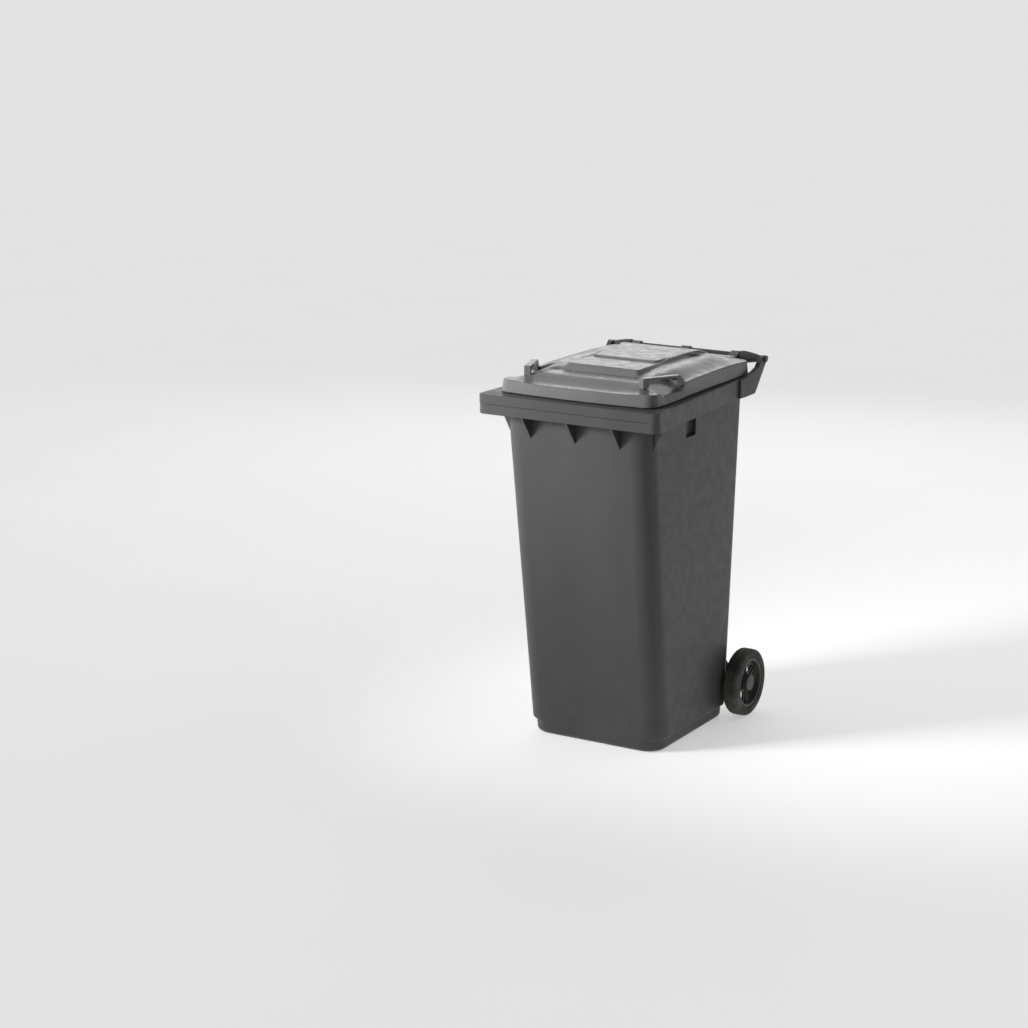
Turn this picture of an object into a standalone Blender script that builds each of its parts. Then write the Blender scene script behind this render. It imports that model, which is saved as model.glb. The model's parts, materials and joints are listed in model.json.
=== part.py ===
"""Two-wheeled refuse bin of about 240 litres: tub with comb lip, hinged lid, axle and wheels.

Metres, +Z up. X is the width, the comb lip faces -Y and the handle is at +Y. The origin is
on the floor under the middle of the bin's outer box. Depths are written as distances behind
the front face of the comb lip, and the function "behind" turns them into Y.
"""

from math import cos, pi, radians, sin

import bmesh
import bpy
from mathutils import Matrix, Vector

# ---------------------------------------------------------------- driving dimensions

OVERALL_DEPTH = 0.738
TOUCH_GAP = 0.0003

# Tub: depths at the floor and at the rim, half widths, corner radii
WALL = 0.0045
FRONT_AT_FLOOR = 0.168
FRONT_AT_SHOULDER = 0.050
SHOULDER_HEIGHT = 0.903
BACK_AT_FLOOR = 0.600
BACK_AT_RIM = 0.6475
SIDE_AT_FLOOR = 0.220
SIDE_AT_RIM = 0.2313
TUB_FRONT_RADIUS = 0.058
TUB_BACK_RADIUS = 0.045
FOOT_HEIGHT = 0.034
FOOT_STEP = 0.012
FLOOR_TOP = 0.016
FLOOR_UNDERSIDE = 0.010
FLOOR_ROUNDING = 0.012
FOOT_LINE = 0.042
# Height and inset of the rings under the tub, from the middle of its floor out to its foot
STAND = ((FLOOR_UNDERSIDE, 0.032), (FLOOR_UNDERSIDE, 0.030), (0.0, 0.027), (0.0, 0.014),
         (0.004, 0.005), (0.014, 0.0), (FOOT_HEIGHT, 0.0))

# Rim and comb lip
RIM_TOP = 1.0235
RIM_BOTTOM = 0.968
RIM_SLAB = 0.005
RIM_SKIRT = 0.004
RIM_CHAMFER = 0.003
LIP_HALF_WIDTH = 0.284
LIP_CORNER_RADIUS = 0.020
RIM_HALF_WIDTH = 0.250
RIM_FLARE_END = 0.560
RIM_BACK = 0.660
RIM_BACK_RADIUS = 0.052
MOUTH_LEDGE = 0.0135
MOUTH_LEDGE_HEIGHT = 0.016

# Ribs under the lip
RIB_PITCH = 0.141
RIB_THICKNESS = 0.007
CORNER_RIB_DEPTH = 0.090
CORNER_RIB_OUTER = 0.260
RIB_OVERLAP = 0.002

# Hand pockets under the side rims
POCKET_FRONT = 0.275
POCKET_BACK = 0.333
POCKET_BOTTOM = 0.903
POCKET_TOP = 0.964
POCKET_INSET = 0.014

# Lid
LID_FRONT = 0.038
LID_BOW = 0.014
LID_BACK = 0.692
LID_HALF_WIDTH = 0.240
LID_FLARE = 0.030
LID_RADIUS = 0.032
LID_BOTTOM = 1.0262
LID_EDGE = 1.059
LID_EDGE_RISE = 0.008
LID_EDGE_FALL = 0.003
LID_CROWN = 0.018
LID_THICKNESS = 0.0035
LID_ROUNDING = 0.020
LID_BACK_NOTCH = 0.028
LID_NOTCH_INNER = 0.180
LID_SIDE_STATIONS = (0.094, 0.112, 0.130, 0.180, 0.206, 0.240, 0.300, 0.400, 0.520, 0.590)
PANEL_FRONT = 0.185
PANEL_BACK = 0.600
PANEL_HALF_WIDTH = 0.124
PANEL_TOP = 1.095
PANEL_FRONT_SLOPE = 0.027
PANEL_BACK_SLOPE = 0.050
STEP_FRONT = 0.330
STEP_BACK = 0.545
STEP_HALF_WIDTH = 0.105
STEP_TOP = 1.100

# Corner grips on the lid: tops of the front and back post on the right side, and the scoop
GRIP_FRONT_POST = (0.184, 0.110)
GRIP_BACK_POST = (0.228, 0.222)
GRIP_WIDTH = 0.021
GRIP_FRONT_TOP = 1.096
GRIP_BACK_TOP = 1.091
GRIP_BAR = 0.012
GRIP_ARCH = 0.004
SCOOP_DEPTH = 0.017
SCOOP_INNER = 0.166
SCOOP_FRONT = 0.112
SCOOP_BACK = 0.238
SCOOP_CORNER = 0.034
SCOOP_WALL = 0.018

# Handle and hinge, all on one axis
HINGE_DEPTH = 0.714
HINGE_HEIGHT = 1.060
BAR_RADIUS = 0.011
BAR_END = 0.146
LUG_INNER = 0.150
LUG_OUTER = 0.178
LUG_RADIUS = 0.016
HAND_GRIP = ((0.182, 0.0165), (0.184, 0.0180), (0.198, 0.0172), (0.212, 0.0152),
             (0.226, 0.0126), (0.238, 0.0098), (0.247, 0.0085))
OUTER_ARM_INNER = 0.243
OUTER_ARM_OUTER = 0.257
OUTER_ARM_FOOT = ((0.560, RIM_BOTTOM), (0.655, RIM_BOTTOM))
OUTER_ARM_NECK = ((0.674, 1.042), (0.620, RIM_TOP + 0.006), (0.560, RIM_TOP))
ARM_NOSE_HEIGHT = 0.0095
INNER_ARM_INNER = 0.130
INNER_ARM_SIDE = ((0.636, RIM_TOP - 0.002), (0.657, RIM_TOP - 0.002), (0.664, 1.042),
                  (HINGE_DEPTH, 1.042), (HINGE_DEPTH, 1.057), (0.640, 1.057), (0.636, 1.053))
SADDLE_HALF_WIDTH = 0.014
SADDLE_WALL = 0.004
PIN_RADIUS = 0.005
PIN_INNER = 0.139
PIN_HEAD_RADIUS = 0.010
PIN_HEAD = 0.005

# Axle and wheels
AXLE_DEPTH = 0.632
AXLE_HEIGHT = 0.100
AXLE_RADIUS = 0.011
AXLE_END = 0.2695
WHEEL_RADIUS = 0.100
WHEEL_INNER = 0.229
WHEEL_OUTER = 0.277
TYRE_INNER_RADIUS = 0.074
BOSS_RADIUS = 0.022
BOSS_OUTER = 0.264
BUSH_RADIUS = 0.0142
RUNNING_GAP = 0.0003
WEB_INNER = (0.157, 0.164)
WEB_OUTER = (0.2015, 0.2085)
BRACKET_BACK = 0.655
BRACKET_FOOT = (0.058, 0.076, 0.090)
BRACKET_ROOF = (0.118, 0.168)
BRACKET_HOOD = 0.005
# Inner end, outer end and radius of the small rings on the axle
SPACER = (0.2088, 0.2262, 0.0155)
WASHER = (0.2265, 0.2285, 0.0190)
PUSH_NUT = (0.2645, 0.2662, 0.0175)
SPOKES = 6
HUB_RING_INNER = 0.066
HUB_WEB = (0.2505, 0.2565)
CAP_INNER = 0.2580
CAP_ROOF = (0.2720, 0.2745)
CAP_WALL = 0.0022

# Lid buffers
BUFFER_RADIUS = 0.006
BUFFER_STEM_RADIUS = 0.003
BUFFER_PLACES = {"front_left": (-0.210, 0.0500), "front_right": (0.210, 0.0500),
                 "rear_left": (-0.2375, 0.520), "rear_right": (0.2375, 0.520)}

SIDES = {"left": -1, "right": 1}


def behind(depth):
    """Y of a point this far behind the front face of the comb lip."""
    return depth - OVERALL_DEPTH / 2


# ---------------------------------------------------------------- small helpers

def smooth(value):
    """Smooth step from 0 to 1."""
    value = min(max(value, 0.0), 1.0)
    return value * value * (3 - 2 * value)


def blend(start, end, share):
    return start + (end - start) * share


def clear_scene():
    for thing in list(bpy.data.objects):
        bpy.data.objects.remove(thing, do_unlink=True)


def material(name, colour, roughness, metallic=0.0):
    made = bpy.data.materials.new(name)
    made.use_nodes = True
    shader = made.node_tree.nodes["Principled BSDF"]
    shader.inputs["Base Color"].default_value = (*colour, 1.0)
    shader.inputs["Roughness"].default_value = roughness
    shader.inputs["Metallic"].default_value = metallic
    return made


def object_from(bm, name, finish, location=(0, 0, 0), angle=30):
    """Object whose mesh is the given bmesh, with faces pointing out and round parts smooth."""
    bmesh.ops.remove_doubles(bm, verts=bm.verts, dist=1e-6)
    bmesh.ops.recalc_face_normals(bm, faces=bm.faces)
    mesh = bpy.data.meshes.new(name)
    bm.to_mesh(mesh)
    bm.free()
    mesh.shade_smooth()
    mesh.set_sharp_from_angle(angle=radians(angle))
    made = bpy.data.objects.new(name, mesh)
    made.location = location
    bpy.context.scene.collection.objects.link(made)
    if finish:
        mesh.materials.append(finish)
    return made


def join_shape(target, tool, operation):
    """Add or cut the tool with an exact Boolean that stays on the target as a modifier."""
    step = target.modifiers.new(tool.name, "BOOLEAN")
    step.operation = operation
    step.solver = "EXACT"
    step.object = tool
    tool.hide_render = True
    tool.display_type = "WIRE"


def skin_rings(bm, rings):
    """Closed surface through rings with the same number of points, capped at both ends."""
    loops = [[bm.verts.new(point) for point in ring] for ring in rings]
    count = len(loops[0])
    for lower, upper in zip(loops, loops[1:]):
        for i in range(count):
            j = (i + 1) % count
            bm.faces.new((lower[i], lower[j], upper[j], upper[i]))
    bm.faces.new(list(reversed(loops[0])))
    bm.faces.new(loops[-1])


def prism(name, corners, start, end, axis):
    """Closed prism: a flat outline pushed from start to end along X or Y."""
    bm = bmesh.new()
    place = {"X": lambda t, a, b: (t, a, b), "Y": lambda t, a, b: (a, t, b)}[axis]
    skin_rings(bm, [[place(t, a, b) for a, b in corners] for t in (start, end)])
    return object_from(bm, name, None)


def block(name, low, high):
    bm = bmesh.new()
    bmesh.ops.create_cube(bm, size=1.0)
    size = [b - a for a, b in zip(low, high)]
    middle = [(a + b) / 2 for a, b in zip(low, high)]
    bmesh.ops.scale(bm, vec=size, verts=bm.verts)
    bmesh.ops.translate(bm, vec=middle, verts=bm.verts)
    return object_from(bm, name, None)


def turned(profile, segments):
    """Bmesh of a closed profile of (x, radius) points turned about the X axis."""
    bm = bmesh.new()
    loops = []
    for i in range(segments):
        turn = 2 * pi * i / segments
        loops.append([bm.verts.new((x, r * cos(turn), r * sin(turn))) for x, r in profile])
    count = len(profile)
    for i in range(segments):
        here = loops[i]
        following = loops[(i + 1) % segments]
        for j in range(count):
            k = (j + 1) % count
            bm.faces.new((here[j], here[k], following[k], following[j]))
    return bm


def rod(name, radius, start, end, centre, segments=24):
    """Closed rod along X between two X positions."""
    bm = bmesh.new()
    bmesh.ops.create_cone(bm, cap_ends=True, segments=segments, radius1=radius, radius2=radius,
                          depth=abs(end - start), matrix=Matrix.Rotation(pi / 2, 4, "Y"))
    bmesh.ops.translate(bm, vec=((start + end) / 2, centre[0], centre[1]), verts=bm.verts)
    return object_from(bm, name, None)


def arc(centre, radius, start, end, steps):
    """Points of an arc in a plane, angles in degrees."""
    turns = [radians(blend(start, end, i / steps)) for i in range(steps + 1)]
    return [(centre[0] + radius * cos(t), centre[1] + radius * sin(t)) for t in turns]


# ---------------------------------------------------------------- outlines seen from above

def half_outline(front, back, front_half, side_half, flare, front_radius, back_radius, steps):
    """Right half of a rounded outline, from the front middle to the back middle."""
    points = [(0.0, front)]
    points += arc((front_half - front_radius, front + front_radius), front_radius, -90, 0, steps)
    points.append((side_half, flare))
    points += arc((side_half - back_radius, back - back_radius), back_radius, 0, 90, steps)
    points.append((0.0, back))
    return points


def closed_outline(half):
    """Whole outline from its right half."""
    return half + [(-x, depth) for x, depth in reversed(half[1:-1])]


def level_ring(outline, height):
    return [(x, behind(depth), height) for x, depth in outline]


def tub_outline(height, inset=0.0, side_step=0.0, front_step=0.0):
    """Outline of the tub's outer face at a height, moved inwards by the inset."""
    share = height / RIM_TOP
    front = front_wall_depth(height) + inset + front_step
    back = blend(BACK_AT_FLOOR, BACK_AT_RIM, share) - inset
    half = blend(SIDE_AT_FLOOR, SIDE_AT_RIM, share) - inset - side_step
    front_radius = max(TUB_FRONT_RADIUS - inset, 0.012)
    back_radius = max(TUB_BACK_RADIUS - inset, 0.012)
    flare = blend(front + front_radius, back - back_radius, 0.3)
    return closed_outline(half_outline(front, back, half, half, flare,
                                       front_radius, back_radius, 6))


def rim_outline(inset=0.0):
    """Outline of the rim: wide at the comb lip, narrowing to the sides behind it."""
    return closed_outline(half_outline(inset, RIM_BACK - inset, LIP_HALF_WIDTH - inset,
                                       RIM_HALF_WIDTH - inset, RIM_FLARE_END,
                                       LIP_CORNER_RADIUS - inset, RIM_BACK_RADIUS - inset, 6))


def front_wall_depth(height):
    """Depth of the front wall's outer face, which stands upright above the shoulder."""
    share = min(height / SHOULDER_HEIGHT, 1.0)
    return blend(FRONT_AT_FLOOR, FRONT_AT_SHOULDER, share)


def side_wall_half(height):
    return blend(SIDE_AT_FLOOR, SIDE_AT_RIM, height / RIM_TOP)


# ---------------------------------------------------------------- tub

def tub_shell(finish):
    """Hollow tub with a hollow rim, one continuous skin."""
    foot = FOOT_STEP
    slab_under = RIM_TOP - RIM_SLAB
    rings = [level_ring(tub_outline(height, inset, foot), height) for height, inset in STAND]
    rings.append(level_ring(tub_outline(FOOT_LINE), FOOT_LINE))
    rings.append(level_ring(tub_outline(SHOULDER_HEIGHT), SHOULDER_HEIGHT))
    rings.append(level_ring(tub_outline(slab_under), slab_under))
    rings.append(level_ring(rim_outline(RIM_SKIRT), slab_under))
    rings.append(level_ring(rim_outline(RIM_SKIRT), RIM_BOTTOM))
    rings.append(level_ring(rim_outline(), RIM_BOTTOM))
    edge = RIM_CHAMFER
    rings.append(level_ring(rim_outline(), RIM_TOP - edge))
    rings.append(level_ring(rim_outline(edge), RIM_TOP))
    ledge = MOUTH_LEDGE
    ledge_under = RIM_TOP - MOUTH_LEDGE_HEIGHT
    rings.append(level_ring(tub_outline(RIM_TOP, WALL - edge, 0.0, ledge - edge), RIM_TOP))
    rings.append(level_ring(tub_outline(RIM_TOP, WALL, 0.0, ledge), RIM_TOP - edge))
    rings.append(level_ring(tub_outline(ledge_under, WALL, 0.0, ledge), ledge_under))
    rings.append(level_ring(tub_outline(ledge_under, WALL), ledge_under - ledge))
    rings.append(level_ring(tub_outline(SHOULDER_HEIGHT, WALL), SHOULDER_HEIGHT))
    above = FOOT_LINE + FOOT_STEP
    rings.append(level_ring(tub_outline(above, WALL), above))
    rings.append(level_ring(tub_outline(FOOT_HEIGHT, WALL, foot), FOOT_HEIGHT))
    rings.append(level_ring(tub_outline(FLOOR_TOP, WALL + FLOOR_ROUNDING, foot), FLOOR_TOP))
    bm = bmesh.new()
    skin_rings(bm, rings)
    return object_from(bm, "body", finish)


def front_rib(index):
    """Upright rib under the lip, a triangle from the lip's skirt down to the front wall."""
    centre = (index - 1) * RIB_PITCH
    top = RIM_TOP - RIM_SLAB / 2
    corners = [(behind(RIM_SKIRT / 2), top), (behind(RIM_SKIRT / 2), RIM_BOTTOM - RIB_OVERLAP),
               (behind(front_wall_depth(SHOULDER_HEIGHT) + WALL / 2), SHOULDER_HEIGHT),
               (behind(front_wall_depth(top) + WALL / 2), top)]
    return prism(f"tool_front_rib_{index}", corners, centre - RIB_THICKNESS / 2,
                 centre + RIB_THICKNESS / 2, "X")


def corner_rib(side):
    """Rib beside each front corner, across the bin, from the lip's end to the side wall."""
    sign = SIDES[side]
    top = RIM_TOP - RIM_SLAB / 2
    corners = [(sign * CORNER_RIB_OUTER, top), (sign * CORNER_RIB_OUTER, RIM_BOTTOM - RIB_OVERLAP),
               (sign * (side_wall_half(SHOULDER_HEIGHT) - WALL / 2), SHOULDER_HEIGHT),
               (sign * (side_wall_half(top) - WALL / 2), top)]
    return prism(f"tool_corner_rib_{side}", corners, behind(CORNER_RIB_DEPTH),
                 behind(CORNER_RIB_DEPTH + RIB_THICKNESS), "Y")


def hand_pocket(side, grow, name):
    """Block of the hand pocket under a side rim, grown on every side but the outer one."""
    sign = SIDES[side]
    inner = side_wall_half(POCKET_TOP) - POCKET_INSET - grow
    outer = side_wall_half(POCKET_TOP) + (-WALL / 2 if grow else 0.006)
    low_x, high_x = sorted((sign * inner, sign * outer))
    return block(f"tool_{name}_{side}",
                 (low_x, behind(POCKET_FRONT - grow), POCKET_BOTTOM - grow),
                 (high_x, behind(POCKET_BACK + grow), POCKET_TOP + grow))


def outer_arm(side):
    """Cheek plate beside the lid that carries the handle, with a flat oval nose."""
    sign = SIDES[side]
    reach = OVERALL_DEPTH - HINGE_DEPTH
    corners = [(behind(depth), height) for depth, height in OUTER_ARM_FOOT]
    for y, z in arc((0, 0), 1.0, -60, 150, 12):
        corners.append((behind(HINGE_DEPTH) + reach * y, HINGE_HEIGHT + ARM_NOSE_HEIGHT * z))
    corners += [(behind(depth), height) for depth, height in OUTER_ARM_NECK]
    low_x, high_x = sorted((sign * OUTER_ARM_INNER, sign * OUTER_ARM_OUTER))
    return prism(f"tool_outer_arm_{side}", corners, low_x, high_x, "X")


def hand_grip(side):
    """Handle end between the lid's lug and the outer arm, thinner towards the arm."""
    sign = SIDES[side]
    bm = bmesh.new()
    turn = 360 * 23 / 24
    skin_rings(bm, [[(sign * x, a, b) for a, b in arc((0, 0), radius, 0, turn, 23)]
                    for x, radius in HAND_GRIP])
    bmesh.ops.translate(bm, vec=(0, behind(HINGE_DEPTH), HINGE_HEIGHT), verts=bm.verts)
    return object_from(bm, f"tool_hand_grip_{side}", None)


def inner_arm(side):
    """Slim arm that rises from the back rim under the lid and holds the middle of the bar."""
    sign = SIDES[side]
    corners = [(behind(depth), height) for depth, height in INNER_ARM_SIDE]
    low_x, high_x = sorted((sign * INNER_ARM_INNER, sign * BAR_END))
    return prism(f"tool_inner_arm_{side}", corners, low_x, high_x, "X")


def axle_bracket(side):
    """Two webs and a sloping hood behind the tub, which the axle runs through."""
    sign = SIDES[side]
    wall = blend(BACK_AT_FLOOR, BACK_AT_RIM, AXLE_HEIGHT / RIM_TOP) - WALL / 2
    back = behind(BRACKET_BACK)
    bottom, bend, rise = BRACKET_FOOT
    low_roof, high_roof = BRACKET_ROOF
    web = [(behind(wall), bottom), (behind(BRACKET_BACK - 0.010), bend), (back, rise),
           (back, low_roof), (behind(wall), high_roof)]
    hood = [(behind(wall), high_roof - BRACKET_HOOD), (back, low_roof - BRACKET_HOOD),
            (back, low_roof), (behind(wall), high_roof)]
    pieces = []
    for number, (inner, outer) in enumerate((WEB_INNER, WEB_OUTER)):
        low_x, high_x = sorted((sign * inner, sign * outer))
        pieces.append(prism(f"tool_axle_web_{side}_{number}", web, low_x, high_x, "X"))
    low_x, high_x = sorted((sign * (WEB_INNER[1] - RIB_OVERLAP),
                            sign * (WEB_OUTER[0] + RIB_OVERLAP)))
    pieces.append(prism(f"tool_axle_hood_{side}", hood, low_x, high_x, "X"))
    return pieces


def make_body(finish):
    body = tub_shell(finish)
    hinge = (behind(HINGE_DEPTH), HINGE_HEIGHT)
    axle = (behind(AXLE_DEPTH), AXLE_HEIGHT)
    for index in range(3):
        join_shape(body, front_rib(index), "UNION")
    for side in SIDES:
        join_shape(body, corner_rib(side), "UNION")
        join_shape(body, hand_pocket(side, WALL, "pocket_wall"), "UNION")
        join_shape(body, hand_pocket(side, 0.0, "pocket_space"), "DIFFERENCE")
        join_shape(body, outer_arm(side), "UNION")
        join_shape(body, inner_arm(side), "UNION")
        join_shape(body, hand_grip(side), "UNION")
        for piece in axle_bracket(side):
            join_shape(body, piece, "UNION")
    join_shape(body, rod("tool_middle_bar", BAR_RADIUS, -BAR_END, BAR_END, hinge), "UNION")
    for side, sign in SIDES.items():
        bore = rod(f"tool_pin_bore_{side}", PIN_RADIUS + TOUCH_GAP, sign * (PIN_INNER - 0.001),
                   sign * (OUTER_ARM_OUTER + 0.010), hinge, 20)
        join_shape(body, bore, "DIFFERENCE")
        hole = rod(f"tool_axle_hole_{side}", AXLE_RADIUS + TOUCH_GAP,
                   sign * (WEB_INNER[0] - 0.006), sign * (WEB_OUTER[1] + 0.006), axle)
        join_shape(body, hole, "DIFFERENCE")
    half = BUFFER_STEM_RADIUS + TOUCH_GAP
    for place, (x, depth) in BUFFER_PLACES.items():
        low = (x - half, behind(depth) - half, RIM_TOP - 0.012)
        high = (x + half, behind(depth) + half, RIM_TOP + 0.002)
        join_shape(body, block(f"tool_buffer_hole_{place}", low, high), "DIFFERENCE")
    return body


# ---------------------------------------------------------------- lid

def lid_plan(x, depth):
    """Plan of the lid: sides that flare towards the front, and a bowed front edge."""
    flare = 1 + LID_FLARE * (1 - smooth((depth - 0.080) / 0.420))
    bow = LID_BOW * (x / LID_HALF_WIDTH) ** 2 * smooth((0.200 - depth) / 0.150)
    return x * flare, depth + bow


def scoop(x, depth):
    """Share of the finger scoop's depth at a point of the lid, 0 outside it and 1 inside."""
    middle = (SCOOP_FRONT + SCOOP_BACK) / 2
    half = (SCOOP_BACK - SCOOP_FRONT) / 2
    across = SCOOP_INNER + SCOOP_CORNER - abs(x)
    along = abs(depth - middle) - half + SCOOP_CORNER
    beyond = (max(across, 0.0) ** 2 + max(along, 0.0) ** 2) ** 0.5
    outside = beyond + min(max(across, along), 0.0) - SCOOP_CORNER
    return smooth(-outside / SCOOP_WALL)


def dome_height(x, depth):
    """Height of the lid's outer face outside its raised panel."""
    edge = LID_EDGE + LID_EDGE_RISE * smooth((depth - 0.080) / 0.250)
    edge -= LID_EDGE_FALL * smooth((depth - 0.560) / 0.100)
    crown = LID_CROWN * smooth((0.224 - abs(x)) / 0.105) * smooth((depth - 0.060) / 0.120)
    crown *= 1 - 0.9 * smooth((depth - 0.560) / 0.110)
    return edge + crown - SCOOP_DEPTH * scoop(x, depth)


def lid_outline(inset):
    """Outline of the lid, moved inwards; the back moves less once past the lid's edge."""
    edge = min(inset, LID_ROUNDING)
    beyond = inset - edge
    radius = LID_RADIUS - edge
    half = LID_HALF_WIDTH - inset
    front = LID_FRONT + inset
    back = LID_BACK - edge - beyond * 0.25
    points = [(0.0, front), (half * 0.4, front)]
    points += arc((half - radius, front + radius), radius, -90, 0, 5)
    for number, depth in enumerate(LID_SIDE_STATIONS):
        points.append((half, max(depth, front + radius + 0.005 * (number + 1))))
    corner_back = LID_BACK - LID_BACK_NOTCH - edge - beyond * 0.03
    notch = LID_NOTCH_INNER - inset * 0.5
    points += arc((half - radius, corner_back - radius), radius, 0, 90, 5)
    points += [(notch + 0.002, corner_back), (notch, back), (half * 0.4, back), (0.0, back)]
    return closed_outline([lid_plan(x, depth) for x, depth in points])


def panel_outline(front, back, half, radius):
    """Outline of the raised panel, with the same number of points as the lid's outline."""
    points = [(0.0, front), (half * 0.4, front)]
    points += arc((half - radius, front + radius), radius, -90, 0, 5)
    stations = len(LID_SIDE_STATIONS)
    for number in range(stations):
        share = (number + 1) / (stations + 1)
        points.append((half, blend(front + radius, back - radius, share)))
    points += arc((half - radius, back - radius), radius, 0, 90, 5)
    points += [(half * share, back) for share in (0.85, 0.7, 0.4, 0.0)]
    return closed_outline(points)


def skirt_ring(inset, below, drop):
    """Ring of the lid's upright edge, lowered where the finger scoop cuts it."""
    ring = []
    for x, depth in lid_outline(inset + drop):
        top = LID_EDGE - SCOOP_DEPTH * scoop(x, depth)
        height = LID_BOTTOM + (top - LID_BOTTOM) * (1 - below / (LID_EDGE - LID_BOTTOM))
        ring.append((x, behind(depth), height - drop))
    return ring


def lid_rings(drop):
    """Rings of a face of the lid, from the bottom edge to the middle.

    The inner face lies the drop below the outer one, and its edge is pulled in by as much.
    """
    rings = [skirt_ring(inset, below, drop)
             for inset, below in ((0.005, 0.009), (0.008, 0.003), (0.013, 0.0005))]
    outlines = [lid_outline(inset) for inset in (0.020, 0.038, 0.056, 0.075)]
    outlines.append(panel_outline(PANEL_FRONT, PANEL_BACK, PANEL_HALF_WIDTH, 0.010))
    for outline in outlines:
        rings.append([(x, behind(depth), dome_height(x, depth) - drop) for x, depth in outline])
    top = panel_outline(PANEL_FRONT + PANEL_FRONT_SLOPE, PANEL_BACK - PANEL_BACK_SLOPE,
                        PANEL_HALF_WIDTH - 0.007, 0.010)
    rings.append([(x, behind(depth), panel_height(depth) - drop) for x, depth in top])
    low_step = panel_outline(STEP_FRONT, STEP_BACK, STEP_HALF_WIDTH, 0.012)
    rings.append([(x, behind(depth), panel_height(depth) + 0.0005 - drop)
                  for x, depth in low_step])
    high_step = panel_outline(STEP_FRONT + 0.004, STEP_BACK - 0.004, STEP_HALF_WIDTH - 0.004,
                              0.012)
    rings.append(level_ring(high_step, STEP_TOP - drop))
    return rings


def panel_height(depth):
    """Height of the raised panel around its step, which dies out towards the back."""
    return blend(PANEL_TOP, STEP_TOP - 0.001, smooth((depth - STEP_FRONT) / 0.100))


def lid_shell(finish):
    """Hollow lid: outer face, bottom edge and inner face as one skin."""
    outer = lid_rings(0.0)
    inner = lid_rings(LID_THICKNESS)
    rings = list(reversed(outer))
    rings.append(level_ring(lid_outline(0.0), LID_BOTTOM))
    rings.append(level_ring(lid_outline(LID_THICKNESS), LID_BOTTOM))
    rings += inner
    bm = bmesh.new()
    skin_rings(bm, rings)
    bmesh.ops.triangulate(bm, faces=bm.faces, quad_method="SHORT_EDGE")
    return object_from(bm, "lid", finish)


def lid_grip(side):
    """Bridge-shaped grip over the finger scoop: two posts and a bar with an arched underside."""
    sign = SIDES[side]
    front = Vector(GRIP_FRONT_POST)
    back = Vector(GRIP_BACK_POST)
    length = (back - front).length
    along = (back - front) / length
    across = Vector((along.y, -along.x))
    front_foot = dome_height(front.x, front.y) - 0.002
    back_foot = dome_height(back.x, back.y + 0.030) - 0.002
    half = GRIP_WIDTH / 2
    inner_start = 0.015
    inner_end = length - 0.012
    profile = [(-0.011, front_foot), (inner_start, front_foot - 0.001)]
    for share in (0.0, 0.25, 0.5, 0.75, 1.0):
        under = blend(GRIP_FRONT_TOP, GRIP_BACK_TOP, share) - GRIP_BAR
        under += GRIP_ARCH * (1 - (2 * share - 1) ** 2)
        profile.append((blend(inner_start, inner_end, share), under))
    profile += [(length - 0.002, back_foot - 0.004), (length + 0.026, back_foot),
                (length + 0.008, GRIP_BACK_TOP - 0.006), (length + 0.002, GRIP_BACK_TOP),
                (-0.006, GRIP_FRONT_TOP), (-0.011, GRIP_FRONT_TOP - 0.006)]
    bm = bmesh.new()
    rings = []
    for offset in (-half, half):
        ring = []
        for distance, height in profile:
            spot = front + along * distance + across * offset
            ring.append((sign * spot.x, behind(spot.y), height))
        rings.append(ring)
    skin_rings(bm, rings)
    return object_from(bm, f"tool_lid_grip_{side}", None)


def lid_back_seat(low):
    """Corners of a neck that end inside the lid's sloping back wall."""
    return [(behind(0.6800), HINGE_HEIGHT), (behind(0.6835), HINGE_HEIGHT - 0.008),
            (behind(0.6870), low)]


def hinge_lug(side):
    """Eye of the lid that turns on the hinge pin, with its neck to the lid's back edge."""
    sign = SIDES[side]
    hinge = (behind(HINGE_DEPTH), HINGE_HEIGHT)
    low_x, high_x = sorted((sign * LUG_INNER, sign * LUG_OUTER))
    eye = arc(hinge, LUG_RADIUS, -110, 110, 14)
    corners = eye + lid_back_seat(HINGE_HEIGHT - 0.018)
    return prism(f"tool_hinge_lug_{side}", corners, low_x, high_x, "X")


def hinge_saddle():
    """Open hook in the middle of the lid's back edge that rests over the handle bar."""
    hinge = (behind(HINGE_DEPTH), HINGE_HEIGHT)
    inner = BAR_RADIUS + 0.0006
    corners = arc(hinge, inner + SADDLE_WALL, 5, 150, 10)
    corners += lid_back_seat(HINGE_HEIGHT - 0.012)
    corners += arc(hinge, inner, 195, 5, 12)
    return prism("tool_hinge_saddle", corners, -SADDLE_HALF_WIDTH, SADDLE_HALF_WIDTH, "X")


def make_lid(finish):
    lid = lid_shell(finish)
    hinge = (behind(HINGE_DEPTH), HINGE_HEIGHT)
    join_shape(lid, hinge_saddle(), "UNION")
    for side, sign in SIDES.items():
        join_shape(lid, lid_grip(side), "UNION")
        join_shape(lid, hinge_lug(side), "UNION")
        low_x, high_x = sorted((sign * (INNER_ARM_INNER - 0.003), sign * (BAR_END + 0.003)))
        notch = block(f"tool_lid_notch_{side}", (low_x, behind(0.671), LID_BOTTOM - 0.010),
                      (high_x, behind(0.700), HINGE_HEIGHT))
        join_shape(lid, notch, "DIFFERENCE")
        bore = rod(f"tool_lug_bore_{side}", PIN_RADIUS + TOUCH_GAP, sign * (LUG_INNER - 0.003),
                   sign * (LUG_OUTER + 0.003), hinge, 20)
        join_shape(lid, bore, "DIFFERENCE")
    return lid


# ---------------------------------------------------------------- hinge pins and buffers

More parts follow.
